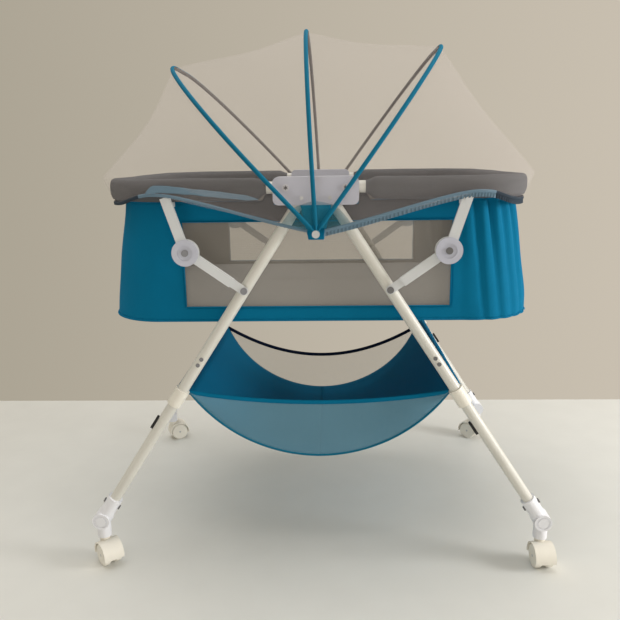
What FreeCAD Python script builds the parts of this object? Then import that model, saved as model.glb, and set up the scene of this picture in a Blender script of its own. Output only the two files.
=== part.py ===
import FreeCAD, Part
import math
import os
import re

# Folding baby bed: two hinged rail halves and two A-frame leg pairs meet at a bracket on each long side,
# a fabric crib hangs from the rails, a net stands on three hoops and a basket hangs between the legs.
# Origin on the floor below the middle of the bed, X along the bed, Y across it, Z up.

V = FreeCAD.Vector
Y_AXIS = V(0, 1, 0)
Z_AXIS = V(0, 0, 1)
SIDES = (("left", -1), ("right", 1))
ENDS = (("front", -1), ("back", 1))

# Driving sizes in millimetres and degrees
SIZES = {
    # tubes of the frame, and the plane that the tubes of one long side lie in
    "tube_diameter": 19, "tube_wall": 1.2, "frame_half_width": 258, "tube_overhang": 8,
    "socket_clearance": 0.1, "running_clearance": 0.05, "face_clearance": 0.3,
    # centre brackets
    "bracket_length": 134, "bracket_below": 27, "bracket_plate": 3, "bracket_side_gap": 0.5,
    "bracket_top_gap": 4, "bracket_corner": 9, "bolt_diameter": 6, "bolt_head_diameter": 11, "bolt_head": 2,
    # rails
    "rail_height": 660, "rail_pivot_x": 46.5, "rail_end_x": 340, "rail_corner": 95,
    "cover_start_x": 84, "cover_width": 24, "cover_below": 21, "cover_above": 16, "cover_round": 10,
    "lug_width": 16, "lug_thickness": 3,
    # legs
    "leg_pivot_x": 22, "leg_pivot_below": 16, "foot_x": 388, "foot_z": 82,
    "tee_at": 396, "tee_length": 32, "tee_wall": 3, "tee_socket_wall": 2.2, "tee_reach": 30,
    "rivet_at": 320, "rivet_pitch": 12, "rivet_diameter": 4, "rivet_head_diameter": 7, "rivet_head": 0.8,
    "bumper_at": 458, "bumper_length": 24, "bumper_width": 8, "bumper_height": 4,
    # feet
    "foot_wall": 3.5, "foot_sleeve": 48, "foot_tube_inset": 16, "foot_boss_diameter": 30, "foot_boss_length": 30,
    "foot_ring_width": 3, "foot_ring_depth": 1.2, "foot_stem_diameter": 24, "foot_bottom": 48.3,
    "foot_screw_at": 34, "foot_screw_diameter": 4, "foot_screw_head_diameter": 8, "foot_screw_head": 2.5,
    # castors
    "wheel_diameter": 40, "wheel_width": 12, "wheel_edge": 3, "castor_trail": 14, "web_thickness": 8,
    "wheel_side_gap": 0.4, "fender_gap": 1.5, "fender_wall": 2.5, "axle_diameter": 5, "stem_diameter": 10,
    "stem_depth": 24, "stem_boss_diameter": 18, "swivel_gap": 0.4, "fender_drop": 4,
    # braces with a ratchet elbow
    "brace_bolt_at": 175, "elbow_inset": 25, "elbow_below": 99, "brace_pin_inset": 13, "brace_pin_below": 20,
    "arm_width": 16, "arm_thickness": 5, "arm_clearance": 2.9, "arm_gap": 0.4, "tongue_thickness": 2,
    "tongue_width": 14, "tongue_length": 30, "elbow_diameter": 42, "elbow_cap": 3, "elbow_recess_diameter": 24,
    "elbow_recess": 1.2,
    # fabric crib with its windows and mattress
    "crib_overhang": 17, "crib_flare": 26, "crib_wall": 3, "crib_leg_gap": 4.0, "crib_depth": 220, "crib_floor": 2,
    "crib_corner": 95, "window_margin": 44, "window_sill": 25, "window_below": 54, "mesh_thickness": 1,
    "pad_height": 24, "pad_edge_gap": 8, "pad_draw_in": 5,
    # net, its hoops and their pivots
    "net_pivot_below": 69, "hoop_diameter": 4.5, "hoop_eye_diameter": 12, "hoop_pin_diameter": 5, "hoop_gap": 0.5,
    "hoop_eye_width": 5, "hoop_outset": 40.5, "hoop_crown": 27.5, "outer_hoop_reach": 375, "middle_hoop_reach": 333,
    "left_hoop_tilt": -43, "middle_hoop_tilt": -3, "right_hoop_tilt": 36, "net_end_overhang": 20.7,
    "net_end_above": 17.6, "net_end_outset": 26, "net_end_corner": 118, "net_thickness": 1.2,
    "net_gap": 0.4, "net_sag": 28, "net_start": 14, "gusset_half_width": 24, "gusset_thickness": 2, "gusset_drop": 12,
    # basket
    "basket_rim_below": 4.2, "basket_sag": 128, "basket_thickness": 2, "basket_inset": 36, "basket_hem": 1.7,
}

# Sizes that follow from the driving ones
FOLLOWING = {
    "bracket_bottom": "rail_height - bracket_below",
    "leg_pivot_z": "rail_height - leg_pivot_below",
    "brace_pin_x": "rail_end_x - rail_corner - brace_pin_inset",
    "brace_pin_z": "rail_height - brace_pin_below",
    "elbow_x": "brace_pin_x - elbow_inset",
    "elbow_z": "rail_height - elbow_below",
    "crib_half_length": "rail_end_x + crib_overhang",
    "crib_bottom": "rail_height - crib_depth",
    "window_half_length": "crib_half_length - crib_corner - window_margin",
    "window_bottom": "crib_bottom + window_sill",
    "window_top": "rail_height - window_below",
    "net_pivot_z": "rail_height - net_pivot_below",
    "hoop_half_width": "frame_half_width + hoop_outset",
    "hoop_corner": "hoop_half_width - 2 * (hoop_eye_width + hoop_gap) - hoop_crown",
    "net_end_half_width": "frame_half_width + net_end_outset",
    "basket_half_width": "frame_half_width - basket_inset",
}

# Swivel directions of the castors as they stand, in degrees from +X
CASTOR_TURN = {("left", "front"): 311, ("right", "front"): 273, ("left", "back"): 25, ("right", "back"): 139}
# Net sections between two neighbouring hoops
NET_STEPS = 4

doc = FreeCAD.newDocument("baby_bed")
sheet = doc.addObject("Spreadsheet::Sheet", "Sizes")
CELLS = {alias: str(number) for alias, number in SIZES.items()}
CELLS.update((alias, "=" + formula) for alias, formula in FOLLOWING.items())
for row, (alias, content) in enumerate(CELLS.items(), start=1):
    sheet.set("A%d" % row, alias)
    sheet.set("B%d" % row, content)
    sheet.setAlias("B%d" % row, alias)
doc.recompute()
S = {alias: float(sheet.get(alias)) for alias in CELLS}

# Values that follow from the driving sizes
TUBE_R = S["tube_diameter"] / 2
PLANE = S["frame_half_width"]
LEG_RUN = S["foot_x"] - S["leg_pivot_x"]
LEG_DROP = S["leg_pivot_z"] - S["foot_z"]
LEG_LENGTH = math.hypot(LEG_RUN, LEG_DROP)
PLATE_INNER = TUBE_R + S["bracket_side_gap"]
PLATE_OUTER = PLATE_INNER + S["bracket_plate"]
ARM_BACK = PLANE + TUBE_R + S["arm_clearance"]
UPPER_ARM_BACK = ARM_BACK + S["arm_thickness"] + S["arm_gap"]
CRIB_HALF_WIDTH = PLANE - TUBE_R - S["crib_leg_gap"]
COVER_BOTTOM = S["rail_height"] - S["cover_below"]
CRIB_TOP = COVER_BOTTOM - S["face_clearance"]
NET_END_X = S["rail_end_x"] + S["net_end_overhang"]
NET_END_RISE = S["net_pivot_below"] + S["net_end_above"]
NET_END_TILT = math.degrees(math.atan2(NET_END_X, NET_END_RISE))
NET_END_REACH = math.hypot(NET_END_X, NET_END_RISE)
AXLE_Z = S["wheel_diameter"] / 2
WELL_R = AXLE_Z + S["fender_gap"]
HOOD_HALF_WIDTH = S["web_thickness"] / 2 + S["wheel_side_gap"] + S["wheel_width"] + S["fender_gap"]
BASKET_X = S["leg_pivot_x"] + S["tee_at"] * LEG_RUN / LEG_LENGTH
BASKET_Z = S["leg_pivot_z"] - S["tee_at"] * LEG_DROP / LEG_LENGTH

kept = []


def bound(text):
    """Turn the size names in a formula into references to the sheet."""
    return re.sub("|".join(sorted(CELLS, key=len, reverse=True)), lambda word: "Sizes." + word.group(0), text)


def along(point, direction):
    """Placement whose Z axis runs along a direction."""
    return FreeCAD.Placement(point, FreeCAD.Rotation(Z_AXIS, direction))


def primitive(kind, name, place, **formulas):
    """One primitive with its sizes bound to the sheet."""
    item = doc.addObject("Part::" + kind, name)
    for prop, text in formulas.items():
        item.setExpression(prop, bound(text))
    item.Placement = place
    return item


def rod(name, start, direction, radius, length):
    """Round bar from a start point along a direction."""
    return primitive("Cylinder", name, along(start, direction), Radius=radius, Height=length)


def fuse(name, *items):
    """Union of several objects."""
    joined = doc.addObject("Part::MultiFuse", name)
    joined.Shapes = list(items)
    return joined


def cut(name, base, *tools):
    """One object less the others."""
    result = doc.addObject("Part::Cut", name)
    result.Base = base
    result.Tool = tools[0] if len(tools) == 1 else fuse(name + "_tools", *tools)
    return result


def group(name, *items):
    """Separate solids that share one node."""
    together = doc.addObject("Part::Compound", name)
    together.Links = list(items)
    return together


def shaped(name, shape):
    """Object whose shape is worked out here."""
    item = doc.addObject("Part::Feature", name)
    item.Shape = shape
    return item


def keep(item, label):
    """Mark an object as a finished sub-part under its own label."""
    item.Label = label
    kept.append(item)
    return item


def wire(points):
    """Wire through points, where a pair (through, end) makes an arc and a single point makes a line."""
    here = points[0]
    edges = []
    for step in points[1:]:
        if isinstance(step, tuple):
            edges.append(Part.Arc(here, step[0], step[1]).toShape())
            here = step[1]
        else:
            edges.append(Part.LineSegment(here, step).toShape())
            here = step
    return Part.Wire(edges)


def sweep(name, section, path):
    """Solid swept by a closed section along a path."""
    item = doc.addObject("Part::Sweep", name)
    item.Sections = [section]
    item.Spine = (path, ["Edge%d" % (i + 1) for i in range(len(path.Shape.Edges))])
    item.Solid = True
    return item


def circle(name, point, direction, radius):
    """Circle at a point, square to a direction."""
    return primitive("Circle", name, along(point, direction), Radius=radius)


def at(sx, sy, x, across, z):
    """Point on one side and end, from distances to the middle planes."""
    return V(sx * x, sy * across, z)


def leg_point(sx, sy, distance):
    """Point on a leg's axis at a distance from its pivot."""
    share = distance / LEG_LENGTH
    return at(sx, sy, S["leg_pivot_x"] + share * LEG_RUN, PLANE, S["leg_pivot_z"] - share * LEG_DROP)


def leg_direction(sx):
    """Unit vector down a leg."""
    return V(sx * LEG_RUN / LEG_LENGTH, 0, -LEG_DROP / LEG_LENGTH)


def leg_square(sx):
    """Unit vector square to a leg in the plane of the frame, pointing outwards."""
    return V(sx * LEG_DROP / LEG_LENGTH, 0, LEG_RUN / LEG_LENGTH)


def cross_rod(name, sx, sy, point, radius, margin):
    """Bar across the tube of one long side at a point, longer than the tube by a margin at each face."""
    start = point - V(0, sy * (TUBE_R + margin), 0)
    return rod(name, start, V(0, sy, 0), radius, "tube_diameter + 2 * %g" % margin)


def make_bracket(end, sy):
    """Inverted channel over the tube ends of one long side."""
    name = end + "_bracket"
    top = S["rail_height"] + TUBE_R + S["bracket_top_gap"] + S["bracket_plate"]
    height = "rail_height + tube_diameter / 2 + bracket_top_gap + bracket_plate - bracket_bottom"
    depth = "tube_diameter + 2 * bracket_side_gap"
    low_y = sy * PLANE - PLATE_OUTER
    low = V(-S["bracket_length"] / 2, low_y, S["bracket_bottom"])
    shell = primitive("Box", name + "_block", FreeCAD.Placement(low, FreeCAD.Rotation()),
                      Length="bracket_length", Width=depth + " + 2 * bracket_plate", Height=height)
    doc.recompute()
    rounded = doc.addObject("Part::Fillet", name + "_rounded")
    rounded.Base = shell
    rounded.Edges = [(number, S["bracket_corner"], S["bracket_corner"])
                     for number, edge in enumerate(shell.Shape.Edges, start=1)
                     if abs(edge.tangentAt(edge.FirstParameter).y) > 0.99]
    room_low = low + V(-1, S["bracket_plate"], -1)
    room = primitive("Box", name + "_room", FreeCAD.Placement(room_low, FreeCAD.Rotation()),
                     Length="bracket_length + 2", Width=depth, Height=height + " - bracket_plate + 1")
    holes = []
    for side, sx in SIDES:
        for part, x, z in (("rail", S["rail_pivot_x"], S["rail_height"]), ("leg", S["leg_pivot_x"], S["leg_pivot_z"])):
            start = at(sx, sy, x, PLANE, z) - V(0, PLATE_OUTER + 1, 0)
            holes.append(rod("%s_%s_%s_hole" % (name, side, part), start, Y_AXIS, "bolt_diameter / 2",
                             "tube_diameter + 2 * bracket_side_gap + 2 * bracket_plate + 2"))
    keep(cut(name, rounded, room, *holes), name)


def make_pivot_set(label, x, z, head_formula):
    """The four pins that one kind of tube turns on, each with a head on the outside."""
    pins = []
    for end, sy in ENDS:
        for side, sx in SIDES:
            name = "%s_%s_%s" % (label, end, side)
            inner = at(sx, sy, x, PLANE - PLATE_OUTER, z)
            shaft = rod(name + "_shaft", inner, V(0, sy, 0), "bolt_diameter / 2",
                        "tube_diameter + 2 * bracket_side_gap + 2 * bracket_plate")
            outer = at(sx, sy, x, PLANE + PLATE_OUTER, z)
            head = rod(name + "_head", outer, V(0, sy, 0), head_formula, "bolt_head")
            pins.append(fuse(name, shaft, head))
    keep(group(label, *pins), label)


def rail_path(name, sx, start_x):
    """U-shaped line of one rail half."""
    corner = S["rail_corner"]
    bulge = corner * (1 - math.sqrt(0.5))
    far = S["rail_end_x"]
    z = S["rail_height"]
    points = [
        V(sx * start_x, -PLANE, z),
        V(sx * (far - corner), -PLANE, z),
        (V(sx * (far - bulge), -PLANE + bulge, z), V(sx * far, -PLANE + corner, z)),
        V(sx * far, PLANE - corner, z),
        (V(sx * (far - bulge), PLANE - bulge, z), V(sx * (far - corner), PLANE, z)),
        V(sx * start_x, PLANE, z),
    ]
    return shaped(name, wire(points))


def cover_section(name, sx):
    """Padded section of a rail cover, a tall rounded oblong."""
    half = S["cover_width"] / 2
    low = COVER_BOTTOM
    high = S["rail_height"] + S["cover_above"]
    corner = S["cover_round"]
    bulge = corner * (1 - math.sqrt(0.5))
    x = sx * S["cover_start_x"]
    left = -PLANE - half
    right = -PLANE + half
    points = [
        V(x, left, low + corner),
        V(x, left, high - corner),
        (V(x, left + bulge, high - bulge), V(x, left + corner, high)),
        V(x, right - corner, high),
        (V(x, right - bulge, high - bulge), V(x, right, high - corner)),
        V(x, right, low + corner),
        (V(x, right - bulge, low + bulge), V(x, right - corner, low)),
        V(x, left + corner, low),
        (V(x, left + bulge, low + bulge), V(x, left, low + corner)),
    ]
    return shaped(name, wire(points))


def make_rail(side, sx):
    """Rail tube, its padded cover and the lugs that the braces reach."""
    start_x = S["rail_pivot_x"] - S["tube_overhang"]
    path = rail_path(side + "_rail_path", sx, start_x)
    start = V(sx * start_x, -PLANE, S["rail_height"])
    outside = sweep(side + "_rail_outside", circle(side + "_rail_ring", start, V(sx, 0, 0), "tube_diameter / 2"), path)
    inside = sweep(side + "_rail_inside",
                   circle(side + "_rail_bore", start, V(sx, 0, 0), "tube_diameter / 2 - tube_wall"), path)
    holes = [cross_rod("%s_%s_rail_hole" % (side, end), sx, sy, at(sx, sy, S["rail_pivot_x"], PLANE, S["rail_height"]),
                       "bolt_diameter / 2 + running_clearance", 1) for end, sy in ENDS]
    keep(cut(side + "_rail_tube", outside, inside, *holes), side + "_rail_tube")

    lugs = []
    slots = []
    drop = "rail_height - brace_pin_z + lug_width / 2"
    for end, sy in ENDS:
        name = "%s_%s_lug" % (side, end)
        low = V(sx * S["brace_pin_x"] - S["lug_width"] / 2, sy * PLANE - S["lug_thickness"] / 2,
                S["brace_pin_z"] - S["lug_width"] / 2)
        plate = primitive("Box", name + "_plate", FreeCAD.Placement(low, FreeCAD.Rotation()),
                          Length="lug_width", Width="lug_thickness", Height=drop)
        tube = rod(name + "_seat", V(sx * S["brace_pin_x"] - S["lug_width"], sy * PLANE, S["rail_height"]),
                   V(1, 0, 0), "tube_diameter / 2", "2 * lug_width")
        pin = rod(name + "_pin", at(sx, sy, S["brace_pin_x"], PLANE, S["brace_pin_z"]), V(0, sy, 0),
                  "bolt_diameter / 2",
                  "tube_diameter / 2 + arm_clearance + arm_thickness + arm_gap - face_clearance")
        lugs.append(cut(name, fuse(name + "_solid", plate, pin), tube))
        gap = S["face_clearance"]
        corner = V(low.x - gap, sy * PLANE - S["lug_thickness"] / 2 - gap, low.z - S["lug_width"])
        if sy < 0:
            corner.y = sy * PLANE - S["cover_width"] / 2 - gap
        slots.append(primitive("Box", name + "_slot", FreeCAD.Placement(corner, FreeCAD.Rotation()),
                               Length="lug_width + 2 * face_clearance", Height=drop + " + lug_width",
                               Width="cover_width / 2 + lug_thickness / 2 + 2 * face_clearance"))
    keep(group(side + "_rail_lugs", *lugs), side + "_rail_lugs")

    cover_path = rail_path(side + "_cover_path", sx, S["cover_start_x"])
    padding = sweep(side + "_cover_padding", cover_section(side + "_cover_section", sx), cover_path)
    cover_start = V(sx * S["cover_start_x"], -PLANE, S["rail_height"])
    core = sweep(side + "_cover_core", circle(side + "_cover_bore", cover_start, V(sx, 0, 0),
                                              "tube_diameter / 2 + socket_clearance"), cover_path)
    keep(cut(side + "_rail_cover", padding, core, *slots), side + "_rail_cover")


def make_leg_tubes(side, sx):
    """Upper and lower leg tubes, their joint with the cross tube, and their fasteners."""
    down = leg_direction(sx)
    uppers = []
    lowers = []
    tees = []
    fasteners = []
    bumpers = []
    for end, sy in ENDS:
        name = "%s_%s" % (side, end)
        outward = V(0, sy, 0)
        top = leg_point(sx, sy, -S["tube_overhang"])
        joint = leg_point(sx, sy, S["tee_at"])
        foot = leg_point(sx, sy, LEG_LENGTH)
        leg_length = "sqrt((foot_x - leg_pivot_x) ^ 2 + (leg_pivot_z - foot_z) ^ 2)"

        holes = [cross_rod(name + "_leg_pivot_hole", sx, sy, leg_point(sx, sy, 0),
                           "bolt_diameter / 2 + running_clearance", 1)]
        holes.append(cross_rod(name + "_leg_bolt_hole", sx, sy, leg_point(sx, sy, S["brace_bolt_at"]),
                               "bolt_diameter / 2", 1))
        for number, shift in enumerate((-S["rivet_pitch"] / 2, S["rivet_pitch"] / 2)):
            place = leg_point(sx, sy, S["rivet_at"] + shift)
            holes.append(cross_rod("%s_rivet_hole_%d" % (name, number), sx, sy, place, "rivet_diameter / 2", 1))
            shaft = cross_rod("%s_rivet_shaft_%d" % (name, number), sx, sy, place, "rivet_diameter / 2", 0)
            head = rod("%s_rivet_head_%d" % (name, number), place + outward * TUBE_R, outward,
                       "rivet_head_diameter / 2", "rivet_head")
            fasteners.append(fuse("%s_rivet_%d" % (name, number), shaft, head))
        upper = rod(name + "_upper_outside", top, down, "tube_diameter / 2", "tee_at + tube_overhang")
        bore = rod(name + "_upper_bore", top - down, down, "tube_diameter / 2 - tube_wall", "tee_at + tube_overhang + 2")
        uppers.append(cut(name + "_upper_leg", upper, bore, *holes))

        screw_point = leg_point(sx, sy, LEG_LENGTH - S["foot_screw_at"])
        square = leg_square(sx)
        reach = TUBE_R + S["foot_wall"]
        screw_start = screw_point - square * (reach + S["foot_screw_head"])
        screw_length = "tube_diameter + 2 * foot_wall + 2 * foot_screw_head"
        screw_hole = rod(name + "_foot_screw_hole", screw_start, square, "foot_screw_diameter / 2", screw_length)
        lower = rod(name + "_lower_outside", joint, down, "tube_diameter / 2",
                    leg_length + " - foot_tube_inset - tee_at")
        bore = rod(name + "_lower_bore", joint - down, down, "tube_diameter / 2 - tube_wall",
                   leg_length + " - foot_tube_inset - tee_at + 2")
        lowers.append(cut(name + "_lower_leg", lower, bore, screw_hole))

        shaft = rod(name + "_foot_screw_shaft", screw_start, square, "foot_screw_diameter / 2", screw_length)
        head = rod(name + "_foot_screw_head", screw_point + square * reach, square,
                   "foot_screw_head_diameter / 2", "foot_screw_head")
        nut = rod(name + "_foot_screw_nut", screw_start, square, "foot_screw_head_diameter / 2", "foot_screw_head")
        fasteners.append(fuse(name + "_foot_screw", shaft, head, nut))
        bolt_point = leg_point(sx, sy, S["brace_bolt_at"])
        shaft = rod(name + "_brace_bolt_shaft", bolt_point - outward * TUBE_R, outward, "bolt_diameter / 2",
                    "tube_diameter + arm_clearance + tongue_thickness + arm_gap")
        head = rod(name + "_brace_bolt_head",
                   bolt_point + outward * (TUBE_R + S["arm_clearance"] + S["tongue_thickness"] + S["arm_gap"]),
                   outward, "bolt_head_diameter / 2", "bolt_head")
        fasteners.append(fuse(name + "_brace_bolt", shaft, head))

        sleeve = rod(name + "_tee_sleeve", joint - down * (S["tee_length"] / 2), down,
                     "tube_diameter / 2 + socket_clearance + tee_wall", "tee_length")
        socket = rod(name + "_tee_socket", joint, -outward,
                     "tube_diameter / 2 + socket_clearance + tee_socket_wall", "tee_reach")
        leg_room = rod(name + "_tee_leg_room", joint - down * S["tee_length"], down,
                       "tube_diameter / 2 + socket_clearance", "2 * tee_length")
        tube_room = rod(name + "_tee_tube_room", joint - outward * (TUBE_R + S["tee_wall"]), -outward,
                        "tube_diameter / 2 + socket_clearance", "tee_reach")
        tees.append(cut(name + "_tee", fuse(name + "_tee_solid", sleeve, socket), leg_room, tube_room))

        middle = leg_point(sx, sy, S["bumper_at"])
        pad = primitive("Box", name + "_bumper_block",
                        FreeCAD.Placement(middle, FreeCAD.Rotation(down, outward, square * -1, "XYZ")),
                        Length="bumper_length", Width="bumper_width", Height="tube_diameter / 2 + bumper_height")
        pad.Placement.Base = middle - down * (S["bumper_length"] / 2) - outward * (S["bumper_width"] / 2)
        seat = rod(name + "_bumper_seat", middle - down * S["bumper_length"], down, "tube_diameter / 2",
                   "2 * bumper_length")
        bumpers.append(cut(name + "_bumper", pad, seat))

    keep(group(side + "_upper_legs", *uppers), side + "_upper_legs")
    keep(group(side + "_lower_legs", *lowers), side + "_lower_legs")
    keep(group(side + "_tee_joints", *tees), side + "_tee_joints")
    keep(group(side + "_leg_fasteners", *fasteners), side + "_leg_fasteners")
    keep(group(side + "_leg_bumpers", *bumpers), side + "_leg_bumpers")

    end_gap = TUBE_R + S["tee_wall"] + S["face_clearance"]
    near = leg_point(sx, -1, S["tee_at"]) + V(0, end_gap, 0)
    length = "2 * frame_half_width - tube_diameter - 2 * tee_wall - 2 * face_clearance"
    outside = rod(side + "_cross_outside", near, Y_AXIS, "tube_diameter / 2", length)
    inside = rod(side + "_cross_inside", near - Y_AXIS, Y_AXIS, "tube_diameter / 2 - tube_wall", length + " + 2")
    keep(cut(side + "_cross_tube", outside, inside), side + "_cross_tube")


def make_feet(side, sx):
    """Plastic elbows that take the leg ends and the castor stems."""
    down = leg_direction(sx)
    square = leg_square(sx)
    feet = []
    for end, sy in ENDS:
        name = "%s_%s_foot" % (side, end)
        centre = leg_point(sx, sy, LEG_LENGTH)
        outward = V(0, sy, 0)
        sleeve = rod(name + "_sleeve", centre, down * -1, "tube_diameter / 2 + foot_wall", "foot_sleeve")
        boss = rod(name + "_boss", centre - Y_AXIS * (S["foot_boss_length"] / 2), Y_AXIS,
                   "foot_boss_diameter / 2", "foot_boss_length")
        post = rod(name + "_post", V(centre.x, centre.y, S["foot_bottom"]), Z_AXIS, "foot_stem_diameter / 2",
                   "foot_z - foot_bottom")
        tube_room = rod(name + "_tube_room", centre - down * S["foot_tube_inset"], down * -1,
                        "tube_diameter / 2 + socket_clearance", "foot_sleeve")
        stem_room = rod(name + "_stem_room", V(centre.x, centre.y, S["foot_bottom"] - 1), Z_AXIS,
                        "stem_diameter / 2 + running_clearance", "stem_depth + swivel_gap + 2")
        face = centre + outward * (S["foot_boss_length"] / 2 - S["foot_ring_depth"])
        ring = rod(name + "_ring", face, outward, "foot_boss_diameter / 2 - foot_ring_width", "foot_ring_depth + 1")
        button = rod(name + "_button", face, outward, "foot_boss_diameter / 2 - 2 * foot_ring_width",
                     "foot_ring_depth + 1")
        groove = cut(name + "_groove", ring, button)
        reach = TUBE_R + S["foot_wall"] + S["foot_screw_head"]
        screw_start = leg_point(sx, sy, LEG_LENGTH - S["foot_screw_at"]) - square * reach
        screw_room = rod(name + "_screw_room", screw_start, square, "foot_screw_diameter / 2",
                         "tube_diameter + 2 * foot_wall + 2 * foot_screw_head")
        head_start = leg_point(sx, sy, LEG_LENGTH - S["foot_screw_at"])
        flats = []
        for sign in (-1, 1):
            flats.append(rod("%s_flat_%d" % (name, sign + 1), head_start + square * (sign * (TUBE_R + S["foot_wall"])),
                             square * sign, "foot_screw_head_diameter / 2", "foot_screw_head"))
        body = fuse(name + "_solid", sleeve, boss, post)
        feet.append(cut(name, body, tube_room, stem_room, groove, screw_room, *flats))
    keep(group(side + "_foot_sockets", *feet), side + "_foot_sockets")


def make_castor(side, sx, end, sy):
    """Hooded twin-wheel castor: hood with stem, axle and wheels."""
    name = "%s_%s" % (end, side)
    turn = math.radians(CASTOR_TURN[(side, end)])
    trail = V(math.cos(turn), math.sin(turn), 0)
    axle = V(-math.sin(turn), math.cos(turn), 0)
    stem_base = at(sx, sy, S["foot_x"], PLANE, 0)
    hub = stem_base + trail * S["castor_trail"] + V(0, 0, AXLE_Z)
    hood_length = "web_thickness + 2 * (wheel_side_gap + wheel_width + fender_gap)"
    drum = rod(name + "_hood_drum", hub - axle * HOOD_HALF_WIDTH, axle,
               "wheel_diameter / 2 + fender_gap + fender_wall", hood_length)
    boss_top = S["foot_bottom"] - S["swivel_gap"]
    boss = rod(name + "_stem_boss", stem_base + V(0, 0, AXLE_Z), Z_AXIS, "stem_boss_diameter / 2",
               "foot_bottom - swivel_gap - wheel_diameter / 2")
    stem = rod(name + "_stem", stem_base + V(0, 0, boss_top - 1), Z_AXIS, "stem_diameter / 2", "stem_depth + 1")
    wells = []
    wheels = []
    for number, sign in enumerate((-1, 1)):
        face = hub + axle * (sign * S["web_thickness"] / 2)
        wells.append(rod("%s_well_%d" % (name, number), face, axle * sign, "wheel_diameter / 2 + fender_gap",
                         "wheel_side_gap + wheel_width + 2 * fender_gap"))
        inner = face + axle * (sign * S["wheel_side_gap"])
        disc = rod("%s_wheel_disc_%d" % (name, number), inner, axle * sign, "wheel_diameter / 2", "wheel_width")
        doc.recompute()
        tread = doc.addObject("Part::Fillet", "%s_wheel_tread_%d" % (name, number))
        tread.Base = disc
        tread.Edges = [(index, S["wheel_edge"], S["wheel_edge"]) for index, edge in enumerate(disc.Shape.Edges, start=1)
                       if isinstance(edge.Curve, Part.Circle)]
        hole = rod("%s_wheel_hole_%d" % (name, number), inner - axle * sign, axle * sign,
                   "axle_diameter / 2 + running_clearance", "wheel_width + 2")
        wheels.append(cut("%s_wheel_%d" % (name, number), tread, hole))
    span = 2 * (WELL_R + S["fender_wall"] + S["castor_trail"])
    below = primitive("Box", name + "_hood_cut", FreeCAD.Placement(), Length="%g" % span, Width="%g" % span,
                      Height="wheel_diameter / 2 + fender_gap + fender_wall - fender_drop")
    below.Placement.Base = V(hub.x - span / 2, hub.y - span / 2, -S["fender_gap"] - S["fender_wall"])
    axle_hole = rod(name + "_axle_hole", hub - axle * HOOD_HALF_WIDTH, axle, "axle_diameter / 2", hood_length)
    hood_solid = fuse(name + "_hood_solid", drum, boss)
    hood = cut(name + "_hood_shell", hood_solid, *wells, below, axle_hole)
    keep(fuse(name + "_castor_hood", hood, stem), name + "_castor_hood")
    pin_half = S["web_thickness"] / 2 + S["wheel_side_gap"] + S["wheel_width"]
    keep(rod(name + "_castor_axle", hub - axle * pin_half, axle, "axle_diameter / 2",
             "web_thickness + 2 * (wheel_side_gap + wheel_width)"), name + "_castor_axle")
    keep(group(name + "_castor_wheels", *wheels), name + "_castor_wheels")


def bar(name, start, direction, outward, back, width, thickness, length):
    """Flat bar along a direction, with its back face at a distance from the middle plane."""
    side = direction.cross(outward)
    place = FreeCAD.Placement(V(), FreeCAD.Rotation(direction, outward, side, "XYZ"))
    item = primitive("Box", name, place, Length=length, Width=thickness, Height=width)
    doc.recompute()
    item.Placement.Base = V(start.x, outward.y * back, start.z) - side * (item.Height.Value / 2)
    return item


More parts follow.
